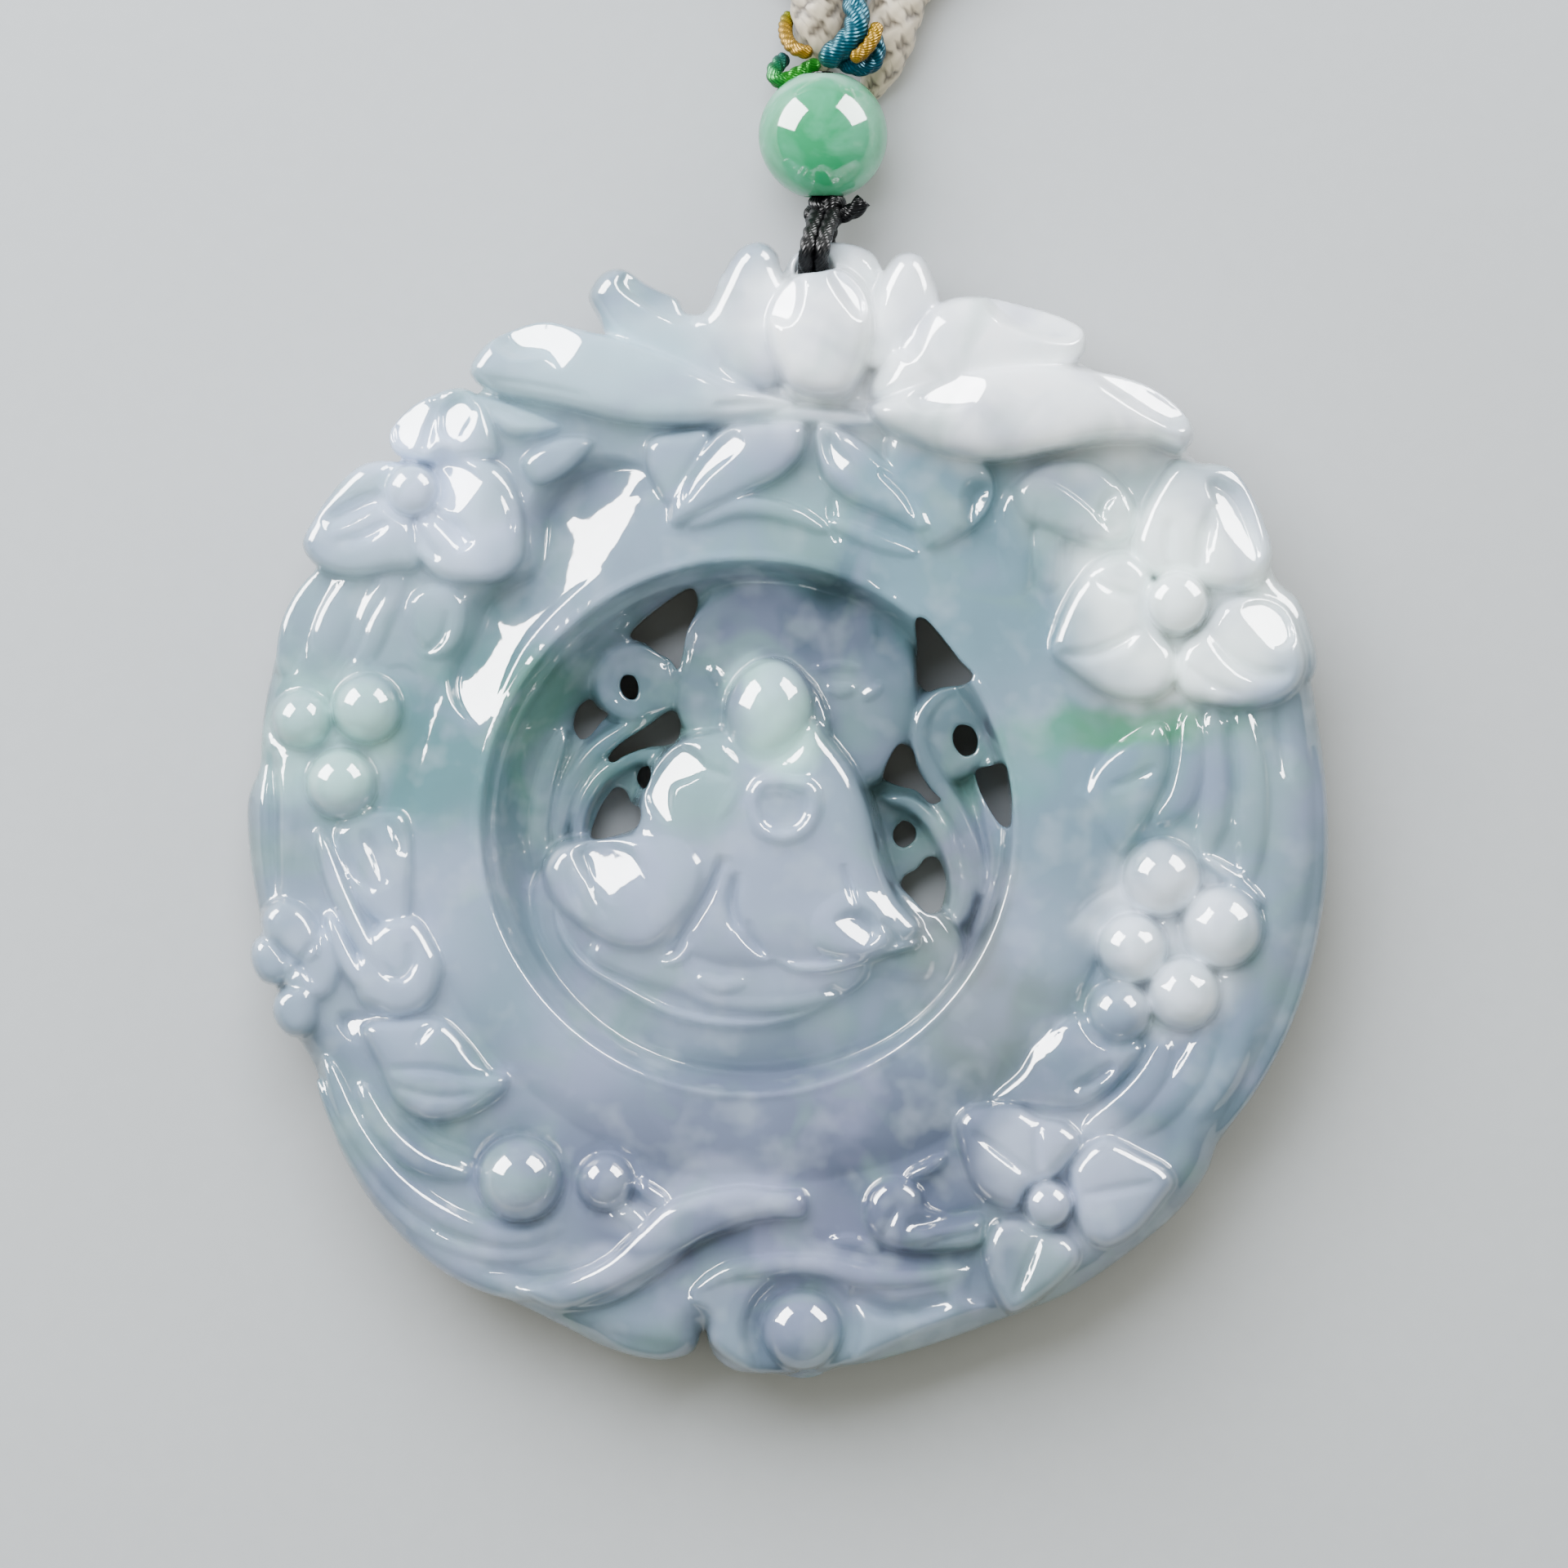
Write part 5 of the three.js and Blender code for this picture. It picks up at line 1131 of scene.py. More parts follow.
def swept(
    route: np.ndarray, radius: Callable[[np.ndarray, np.ndarray], np.ndarray], sides: int, name: str
) -> bpy.types.Mesh:
    """Sweeps a section along a route, closed at both ends.

    Args:
        route: the middle line's points, in millimetres.
        radius: gives the section's radius from the length along the route and the angle round it.
        sides: how many sides the section has.
        name: the mesh's name.

    Returns:
        The closed mesh, with a UV map of the length along and the angle round.
    """
    count = len(route)
    spans = np.linalg.norm(np.diff(route, axis=0), axis=1)
    length = np.concatenate([[0], np.cumsum(spans)])
    ahead = np.gradient(route, axis=0)
    ahead /= np.linalg.norm(ahead, axis=1)[:, None]
    up = np.zeros((count, 3))
    start = np.array([0.0, 0.0, 1.0]) if abs(ahead[0][2]) < 0.9 else np.array([1.0, 0.0, 0.0])
    up[0] = start - ahead[0] * (start @ ahead[0])
    for i in range(1, count):
        up[i] = up[i - 1] - ahead[i] * (up[i - 1] @ ahead[i])
        up[i] /= np.linalg.norm(up[i])
    up[0] /= np.linalg.norm(up[0])
    across = np.cross(ahead, up)
    angle = np.linspace(0, 2 * np.pi, sides, endpoint=False)
    wide = radius(length[:, None], angle[None, :])
    ring = (
        route[:, None, :]
        + across[:, None, :] * (wide * np.cos(angle))[..., None]
        + up[:, None, :] * (wide * np.sin(angle))[..., None]
    )
    places = np.vstack([ring.reshape(-1, 3), route[:1], route[-1:]]) * MM
    row = np.arange(sides)
    beside = (row + 1) % sides
    quads = []
    for i in range(count - 1):
        here, there = i * sides, (i + 1) * sides
        quads.append(np.stack([here + row, here + beside, there + beside, there + row], axis=1))
    near, far = count * sides, count * sides + 1
    last = (count - 1) * sides
    caps = [(near, int(b), int(a)) for a, b in zip(row, beside)]
    caps += [(far, last + int(a), last + int(b)) for a, b in zip(row, beside)]
    faces = [tuple(int(v) for v in quad) for quad in np.vstack(quads)] + caps
    mesh = bpy.data.meshes.new(name)
    mesh.from_pydata(places.tolist(), [], faces)
    layer = mesh.uv_layers.new(name="along_round")
    uv = np.zeros((len(mesh.loops), 2))
    at = 0
    for i in range(count - 1):
        for j in range(sides):
            uv[at : at + 4] = [(length[i], j), (length[i], j + 1), (length[i + 1], j + 1), (length[i + 1], j)]
            at += 4
    uv[:, 1] /= sides
    layer.data.foreach_set("uv", uv.ravel())
    mesh.shade_smooth()
    return mesh


# Finishes


def add_node(
    tree: bpy.types.NodeTree, kind: str, inputs: dict[Any, Any] | None = None, **settings: Any
) -> Any:
    """Adds a node with its settings, and links or sets its inputs.

    Args:
        tree: the tree that it goes into.
        kind: the node's type.
        inputs: values or output sockets, by the input's name or number.
        settings: the node's own properties.

    Returns:
        The node.
    """
    made = tree.nodes.new(kind)
    for name, value in settings.items():
        setattr(made, name, value)
    for key, value in (inputs or {}).items():
        if isinstance(value, bpy.types.NodeSocket):
            tree.links.new(value, made.inputs[key])
        else:
            made.inputs[key].default_value = value
    return made


def new_material(
    name: str, inputs: dict[Any, Any]
) -> tuple[bpy.types.Material, bpy.types.NodeTree, Any]:
    """Makes a material with a Principled shader.

    Args:
        name: the material's name.
        inputs: the shader's values, by the input's name.

    Returns:
        The material, its node tree and the shader.
    """
    material = bpy.data.materials.new(name)
    material.use_nodes = True
    tree = material.node_tree
    tree.nodes.clear()
    shader = add_node(tree, "ShaderNodeBsdfPrincipled", inputs)
    add_node(tree, "ShaderNodeOutputMaterial", {"Surface": shader.outputs["BSDF"]})
    return material, tree, shader


def mixed(tree: bpy.types.NodeTree, share: Any, first: Any, second: Any) -> Any:
    """Mixes two colours.

    Args:
        tree: the tree that the node goes into.
        share: how much of the second colour there is, as a number or an output socket.
        first, second: the colours, as values or output sockets.

    Returns:
        The socket of the mixed colour.
    """
    node = add_node(tree, "ShaderNodeMix", data_type="RGBA")
    for socket, value in ((node.inputs[0], share), (node.inputs[6], first), (node.inputs[7], second)):
        if isinstance(value, bpy.types.NodeSocket):
            tree.links.new(value, socket)
        else:
            socket.default_value = value
    return node.outputs[2]


@dataclass(frozen=True)
class Tint:
    """A patch of another colour in the stone, or of painted light or shade: where it is and how far it
    reaches, in millimetres.
    """

    colour: str
    at: Point2
    reach: Point2
    strength: float = 1.0


@dataclass(frozen=True)
class PolishedJadeite:
    """Jadeite, carved with small wheels and buffed to a glassy polish."""

    # The grains let light in and scatter it, so the stone looks milky and lit from within. Its colour is
    # painted paler on high parts and darker in low, recessed parts, and its value is lowered in the recesses
    # and raised on the
    # crests: painted shade. The tints are patches of the stone's colour, and some also carry painted light
    # and shade. The polish gives small, sharp highlights. The colour drifts between lilac-grey and a bluish
    # green over centimetres, with finer cloudy wisps of 2 to 7 mm.
    name: str = "polished_jadeite"
    # pale is painted on the high parts and deep in the low, recessed parts, mixed by height: painted shade.
    pale: str = "#8797a8"
    deep: str = "#506769"
    cotton: str = "#bcc8d0"
    lilac: str = "#8e90ac"
    green: str = "#7a998e"
    veil_strength: float = 0.38
    sway: float = 9.0
    low_z: float = 2.8
    ground_z: float = 6.0
    high_z: float = 9.0
    tints: tuple[Tint, ...] = (
        # Mostly the stone's own colours. The patches low and to the right are darker and the whites at the
        # top paler, partly the stone's lilac-grey bottom and whiter top, and partly painted fall-off of the
        # light from the top.
        Tint("#63667e", (-5.0, -19.0), (20.0, 8.5), 0.7),
        Tint("#4a4f62", (11.0, -18.0), (12.0, 8.0), 0.6),
        Tint("#5b6c7f", (-22.5, -17.0), (8.0, 9.0), 0.5),
        Tint("#6c8390", (-15.5, -8.5), (5.0, 6.0), 0.5),
        Tint("#587783", (18.0, 1.5), (9.0, 7.0), 0.55),
        Tint("#627788", (21.5, -12.5), (7.5, 6.5), 0.55),
        Tint("#457572", (-18.0, 4.8), (11.0, 7.0), 0.7),
        Tint("#60838b", (8.0, 14.0), (15.0, 8.0), 0.65),
        Tint("#567c6d", (-13.0, 5.0), (3.0, 5.5), 0.75),
        Tint("#5d695e", (11.0, -10.0), (4.5, 4.5), 0.6),
        Tint("#6f716b", (9.6, -5.0), (3.0, 5.0), 0.6),
        # Painted shade: the niche behind the head is drawn dark for the shadow in it.
        Tint("#35454c", (0.5, 10.5), (7.5, 5.0), 0.9),
        Tint("#a4c9c2", (-24.0, 4.5), (4.5, 4.5), 0.8),
        Tint("#b0dad0", (-1.0, 6.1), (2.8, 3.3), 0.9),
        Tint("#acc6d0", (-10.0, 24.5), (9.5, 4.5), 0.8),
        # Partly the lotus's own white and partly painted light: near white, so its shaded lower flanks look
        # as lit as its tops.
        Tint("#f6f8f8", (8.5, 25.6), (14.5, 7.4), 0.98),
        Tint("#f6f8f8", (18.5, 21.6), (6.0, 3.4), 0.9),
        Tint("#f0f8f5", (21.2, 12.4), (7.6, 7.0), 0.97),
        Tint("#3f8256", (18.4, 5.2), (9.5, 2.2), 0.75),
        Tint("#5b9488", (12.5, 4.2), (3.6, 3.6), 0.5),
        Tint("#c0cde4", (-19.5, 17.5), (6.5, 6.5), 0.85),
        Tint("#8ea6ab", (-21.5, 10.5), (5.5, 4.0), 0.5),
        Tint("#a0b3b0", (15.0, 17.0), (5.0, 3.8), 0.5),
        Tint("#9ca5bd", (-4.0, -4.5), (10.0, 7.0), 0.65),
        Tint("#83aaa2", (-5.2, 2.4), (3.2, 3.0), 0.55),
        Tint("#9eaac0", (-22.0, -6.0), (7.0, 8.0), 0.6),
        Tint("#eef4fc", (20.4, -6.2), (4.5, 5.0), 0.75),
        Tint("#a4adbf", (14.3, -19.0), (5.4, 4.8), 0.8),
        Tint("#7c9292", (12.8, -23.6), (2.8, 2.6), 0.6),
        # Painted sheen: the ribbon's top is drawn paler where the softboxes shine on it.
        Tint("#a7aec3", (-4.5, -20.8), (6.0, 1.5), 0.5),
        Tint("#a7aec3", (-10.0, -23.8), (5.0, 1.8), 0.6),
        Tint("#8b99ac", (-17.0, -21.0), (6.5, 4.0), 0.6),
        # Partly the berry's colour and partly painted shade: the sunk berry and the hollow round it are drawn
        # darker.
        Tint("#5e6c7c", (0.75, -26.9), (3.6, 3.6), 0.9),
    )

    def patches(self, tree: bpy.types.NodeTree, place: Any, drift: Any, colour: Any) -> Any:
        """Lays the tints over the colour so far, with wandering edges; some tints are painted light or shade.

        Args:
            tree: the material's node tree.
            place: the socket of the place in the stone.
            drift: the noise that the edges wander by.
            colour: the socket of the colour so far, with its painted height shade.

        Returns:
            The socket of the colour with its tints.
        """
        wander = add_node(tree, "ShaderNodeVectorMath", {0: drift.outputs["Color"], 1: (0.5, 0.5, 0.5)},
                          operation="SUBTRACT")
        sway = add_node(tree, "ShaderNodeVectorMath", {0: wander.outputs[0], "Scale": self.sway * MM},
                        operation="SCALE")
        moved = add_node(tree, "ShaderNodeVectorMath", {0: place, 1: sway.outputs[0]}, operation="ADD")
        for tint in self.tints:
            centred = add_node(tree, "ShaderNodeMapping", {
                "Vector": moved.outputs[0],
                "Location": (-tint.at[0] / tint.reach[0], -tint.at[1] / tint.reach[1], 0),
                "Scale": (1 / (tint.reach[0] * MM), 1 / (tint.reach[1] * MM), 0),
            })
            away = add_node(tree, "ShaderNodeVectorMath", {0: centred.outputs[0]}, operation="LENGTH")
            share = add_node(tree, "ShaderNodeMapRange", {
                0: away.outputs["Value"], 1: 1.15, 2: 0.45, 3: 0.0, 4: tint.strength,
            }, interpolation_type="SMOOTHSTEP")
            colour = mixed(tree, share.outputs[0], colour, linear(tint.colour))
        return colour

    def wisps(self, tree: bpy.types.NodeTree, place: Any, colour: Any) -> Any:
        """Lays the fine cotton and the lilac and green veils over the colour.

        Args:
            tree: the material's node tree.
            place: the socket of the place in the stone.
            colour: the socket of the colour so far.

        Returns:
            The socket of the colour with its wisps.
        """
        fine = add_node(tree, "ShaderNodeTexNoise", {"Vector": place, "Scale": 420.0, "Detail": 2.0,
                                                     "Roughness": 0.55})
        cloudy = add_node(tree, "ShaderNodeMapRange", {0: fine.outputs[0], 1: 0.52, 2: 0.72, 3: 0.0, 4: 0.22})
        colour = mixed(tree, cloudy.outputs[0], colour, linear(self.cotton))
        for scale, low, high, tint in ((150.0, 0.5, 0.68, self.lilac), (190.0, 0.52, 0.7, self.green)):
            veil = add_node(tree, "ShaderNodeTexNoise", {"Vector": place, "Scale": scale, "Detail": 2.0,
                                                         "Distortion": 0.8})
            share = add_node(tree, "ShaderNodeMapRange", {0: veil.outputs[0], 1: low, 2: high, 3: 0.0,
                                                          4: self.veil_strength})
            colour = mixed(tree, share.outputs[0], colour, linear(tint))
        return colour

    def build(self) -> bpy.types.Material:
        """Makes the material.

        Returns:
            The material.
        """
        material, tree, shader = new_material(self.name, {
            "Roughness": 0.06, "IOR": 1.66, "Specular IOR Level": 0.65, "Subsurface Weight": 0.8,
            "Subsurface Radius": (0.9, 1.0, 1.0), "Subsurface Scale": 0.0013,
        })
        shader.subsurface_method = "BURLEY"
        place = add_node(tree, "ShaderNodeTexCoord").outputs["Object"]
        drift = add_node(tree, "ShaderNodeTexNoise", {"Vector": place, "Scale": 130.0, "Detail": 3.0})
        height = add_node(tree, "ShaderNodeSeparateXYZ", {0: place}).outputs[2]
        # Painted shade: the colour goes from deep in low, recessed places to pale on high parts.
        level = add_node(tree, "ShaderNodeMapRange", {0: height, 1: self.low_z * MM, 2: self.high_z * MM})
        colour = mixed(tree, level.outputs[0], linear(self.deep), linear(self.pale))
        colour = self.patches(tree, place, drift, colour)
        colour = self.wisps(tree, place, colour)
        shade = add_node(tree, "ShaderNodeMapRange", {0: drift.outputs[0], 1: 0.35, 2: 0.65, 3: 0.9, 4: 1.06})
        # Painted shade: the value falls to 0.84 on the ground and in recesses, and rises to 1.1 on the
        # highest crests.
        painted_relief_shade = add_node(tree, "ShaderNodeMapRange", {0: height, 1: self.ground_z * MM,
                                                       2: self.high_z * MM, 3: 0.84, 4: 1.1})
        value = add_node(tree, "ShaderNodeMath", {0: shade.outputs[0], 1: painted_relief_shade.outputs[0]},
                         operation="MULTIPLY")
        hue = add_node(tree, "ShaderNodeHueSaturation", {"Color": colour, "Value": value.outputs[0]})
        tree.links.new(hue.outputs[0], shader.inputs["Base Color"])
        ripple = add_node(tree, "ShaderNodeTexNoise", {"Vector": place, "Scale": 600.0, "Detail": 2.0})
        bump = add_node(tree, "ShaderNodeBump", {"Height": ripple.outputs[0], "Strength": 0.18,
                                                 "Distance": 0.0002})
        tree.links.new(bump.outputs[0], shader.inputs["Normal"])
        return material


@dataclass(frozen=True)
class GreenJadeite:
    """Apple-green jadeite, turned, tumbled and buffed."""

    # A milky, faintly see-through green, with deeper and paler drifts a few millimetres long, under a glassy
    # polish that mirrors the softboxes.
    name: str = "green_jadeite"
    body: str = "#4fa27a"
    dark: str = "#228a58"
    milky: str = "#8ec2a6"

    def build(self) -> bpy.types.Material:
        """Makes the material.

        Returns:
            The material.
        """
        material, tree, shader = new_material(self.name, {
            "Roughness": 0.07, "IOR": 1.66, "Subsurface Weight": 0.35, "Subsurface Radius": (0.6, 1.0, 0.8),
            "Subsurface Scale": 0.0015,
        })
        place = add_node(tree, "ShaderNodeTexCoord").outputs["Object"]
        drift = add_node(tree, "ShaderNodeTexNoise", {"Vector": place, "Scale": 260.0, "Detail": 4.0,
                                                      "Distortion": 0.6})
        rich = add_node(tree, "ShaderNodeMapRange", {0: drift.outputs[0], 1: 0.5, 2: 0.68})
        pale = add_node(tree, "ShaderNodeMapRange", {0: drift.outputs[0], 1: 0.48, 2: 0.3})
        colour = mixed(tree, rich.outputs[0], linear(self.body), linear(self.dark))
        colour = mixed(tree, pale.outputs[0], colour, linear(self.milky))
        tree.links.new(colour, shader.inputs["Base Color"])
        return material


@dataclass(frozen=True)
class TwistedSilk:
    """Dyed silk thread, reeled and plied."""

    # The filaments slant across each ply, with thin dark lines between them painted as shade in the grooves,
    # and their shine runs along the ply in soft bright streaks. Real filaments are far too fine to see here,
    # so bundles are drawn instead.
    name: str
    colours: tuple[str, ...]
    filament: float = 0.22
    slant: float = 14.0
    change: float = 1.6
    roughness: float = 0.32
    metallic: float = 0.0
    shine: float = 0.5

    def build(self) -> bpy.types.Material:
        """Makes the material; the colours follow each other along the thread, `change` millimetres each.

        Returns:
            The material.
        """
        material, tree, shader = new_material(self.name, {
            "Roughness": self.roughness, "Metallic": self.metallic, "Specular IOR Level": self.shine,
        })
        uv = add_node(tree, "ShaderNodeUVMap", uv_map="along_round").outputs[0]
        parts = add_node(tree, "ShaderNodeSeparateXYZ", {0: uv})
        slant = add_node(tree, "ShaderNodeMath", {0: parts.outputs[1], 1: self.slant}, operation="MULTIPLY")
        twist = add_node(tree, "ShaderNodeMath", {0: parts.outputs[0], 1: 1 / self.filament,
                                                  2: slant.outputs[0]}, operation="MULTIPLY_ADD")
        wave = add_node(tree, "ShaderNodeMath", {0: twist.outputs[0], 1: 2 * math.pi}, operation="MULTIPLY")
        line = add_node(tree, "ShaderNodeMath", {0: wave.outputs[0]}, operation="SINE")
        run = self.change * len(self.colours)
        share = add_node(tree, "ShaderNodeMath", {0: parts.outputs[0], 1: 1 / run}, operation="MULTIPLY")
        turn = add_node(tree, "ShaderNodeMath", {0: share.outputs[0]}, operation="FRACT")
        ramp = add_node(tree, "ShaderNodeValToRGB", {0: turn.outputs[0]})
        ramp.color_ramp.elements.remove(ramp.color_ramp.elements[1])
        for i, colour in enumerate(self.colours):
            at = i / len(self.colours)
            stop = ramp.color_ramp.elements[0] if i == 0 else ramp.color_ramp.elements.new(at)
            stop.position = at
            stop.color = linear(colour)
        # Painted shade: the colour darkens in the grooves between filament bundles, where the bump dips.
        dark = mixed(tree, 0.4, ramp.outputs[0], (0.0, 0.0, 0.0, 1.0))
        depth = add_node(tree, "ShaderNodeMapRange", {0: line.outputs[0], 1: -1.0, 2: 0.2})
        colour = mixed(tree, depth.outputs[0], dark, ramp.outputs[0])
        tree.links.new(colour, shader.inputs["Base Color"])
        bump = add_node(tree, "ShaderNodeBump", {"Height": line.outputs[0], "Strength": 0.3,
                                                 "Distance": 0.00006})
        tree.links.new(bump.outputs[0], shader.inputs["Normal"])
        return material


@dataclass(frozen=True)
class BraidedPolyester:
    """Braided polyester cord, left undyed."""

    # Dry ivory yarns with a faint sheen, finely lined along their filaments, and gaps where they cross
    # painted dark as shade.
    name: str = "ivory_braid"
    yarn: str = "#bcac90"
    shade: str = "#3c2f1e"

    def build(self) -> bpy.types.Material:
        """Makes the material.

        Returns:
            The material.
        """
        material, tree, shader = new_material(self.name, {"Roughness": 0.55, "Sheen Weight": 0.25})
        uv = add_node(tree, "ShaderNodeUVMap", uv_map="along_round").outputs[0]
        parts = add_node(tree, "ShaderNodeSeparateXYZ", {0: uv})
        along = add_node(tree, "ShaderNodeMath", {0: parts.outputs[0], 1: 4.0}, operation="MULTIPLY")
        yarns = add_node(tree, "ShaderNodeMath", {0: parts.outputs[1], 1: 90.0, 2: along.outputs[0]},
                         operation="MULTIPLY_ADD")
        line = add_node(tree, "ShaderNodeMath", {0: yarns.outputs[0]}, operation="SINE")
        hollow = add_node(tree, "ShaderNodeAttribute", attribute_name="braid_height")
        depth = add_node(tree, "ShaderNodeMapRange", {0: hollow.outputs["Fac"], 1: 0.0, 2: 0.55})
        tone = add_node(tree, "ShaderNodeMapRange", {0: line.outputs[0], 1: -1.0, 2: 1.0, 3: 0.9, 4: 1.05})
        # Painted shade: the gaps between the yarns take the shade colour.
        colour = mixed(tree, depth.outputs[0], linear(self.shade), linear(self.yarn))
        hue = add_node(tree, "ShaderNodeHueSaturation", {"Color": colour, "Value": tone.outputs[0]})
        tree.links.new(hue.outputs[0], shader.inputs["Base Color"])
        return material


# Cord, silk and bead


@dataclass
class NecklaceCord:
    """The braided cord: from the bead to the coil of its spare length and back to the bead."""

    diameter: float = 3.0
    z: float = 1.6
    coil_centre: Point2 = (3.5, 70.0)
    outer_turn: float = 19.5
    inner_turn: float = 10.875
    start_angle: float = -133.6
    sweep: float = -2071.0
    layers: int = 2
    points_per_turn: int = 18
    climb_turns: float = 0.35
    drop_turns: float = 0.16
    left_arm: tuple[Point3, ...] = (
        (1.75, 40.7, 0.8), (1.7, 41.6, 1.2), (1.6, 42.4, 1.5), (1.6, 43.2, 1.6), (1.55, 44.2, 1.6),
        (1.2, 45.6, 1.6), (0.0, 47.4, 1.6), (-2.6, 50.0, 1.6), (-5.8, 52.6, 1.6),
    )
    right_arm: tuple[Point3, ...] = (
        (13.6, 52.4, 1.6), (10.6, 49.6, 1.6), (8.2, 47.4, 1.6), (6.7, 45.7, 1.6), (5.95, 44.2, 1.6),
        (5.45, 42.6, 1.6), (5.05, 41.2, 1.4), (4.7, 40.1, 1.0), (4.3, 39.3, 0.7),
    )
    drawn_in: float = 3.6
    sides: int = 32
    ring_spacing: float = 0.28
    carriers: int = 8
    lay: float = 6.4

    def route(self) -> list[Point3]:
        """Lays the cord out: down the left arm, round the coil, and back along the right arm.

        Returns:
            The route's points, in millimetres.
        """
        turns = abs(self.sweep) / 360
        steps = round(turns * self.points_per_turn)
        half = turns / self.layers
        coil: list[Point3] = []
        for i in range(steps + 1):
            turn = turns * i / steps
            angle = math.radians(self.start_angle + self.sweep * i / steps)
            share = turn / half if turn <= half else (turns - turn) / half
            radius = self.outer_turn - (self.outer_turn - self.inner_turn) * share
            climb = min(1.0, max(0.0, (turn - half) / self.climb_turns + 0.5))
            lift = climb * climb * (3 - 2 * climb)
            lower = min(1.0, max(0.0, (turns - turn) / self.drop_turns))
            drop = lower * lower * (3 - 2 * lower)
            x = self.coil_centre[0] + radius * math.cos(angle)
            y = self.coil_centre[1] + radius * math.sin(angle)
            coil.append((x, y, self.z + self.diameter * lift * drop))
        return [*self.left_arm, *coil, *self.right_arm]

    def build(self, material: bpy.types.Material, wraps: Sequence[bpy.types.Object]) -> bpy.types.Object:
        """Braids the cord along its route, in place of its three solids.

        Args:
            material: the cord's finish.
            wraps: the threads that are bound round it; not used.

        Returns:
            The cord.
        """
        path = self.route()
        line = curve_through(path, self.ring_spacing)
        half = self.diameter / 2

        def strands(length: np.ndarray, angle: np.ndarray) -> np.ndarray:
            """Gives how far each yarn stands out, from 0 in the gaps to 1."""
            turn = 2 * np.pi * length / self.lay
            pairs = self.carriers / 2
            left = np.cos(pairs * (angle - turn))
            right = np.cos(pairs * (angle + turn))
            over = np.where(np.cos(pairs * turn) * np.cos(pairs * angle) > 0, left, right)
            return np.clip(0.5 + 0.5 * np.maximum(over, np.minimum(left, right)), 0, 1)

        def radius(length: np.ndarray, angle: np.ndarray) -> np.ndarray:
            """Gives the braid's radius, which is drawn in where its ends go into the binding."""
            from_end = np.minimum(length, length.max() - length)
            drawn = 0.36 + 0.64 * np.sin(np.pi / 2 * np.minimum(from_end / self.drawn_in, 1))
            return half * drawn * (0.86 + 0.14 * np.sqrt(strands(length, angle)))

        mesh = swept(line, radius, self.sides, "ivory_cord")
        spans = np.linalg.norm(np.diff(line, axis=0), axis=1)
        length = np.concatenate([[0], np.cumsum(spans)])
        angle = np.linspace(0, 2 * np.pi, self.sides, endpoint=False)
        heights = np.concatenate([strands(length[:, None], angle[None, :]).ravel(), [0.0, 0.0]])
        attribute = mesh.attributes.new("braid_height", "FLOAT", "POINT")
        attribute.data.foreach_set("value", heights.astype(np.float32))
        piece = piece_from(mesh, "ivory_cord", material)
        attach(piece, "root")
        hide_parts("necklace_cord_left", "necklace_cord_right", "necklace_cord_coil")
        LOG.info("ivory_cord: %.0f mm long", length[-1])
        return piece


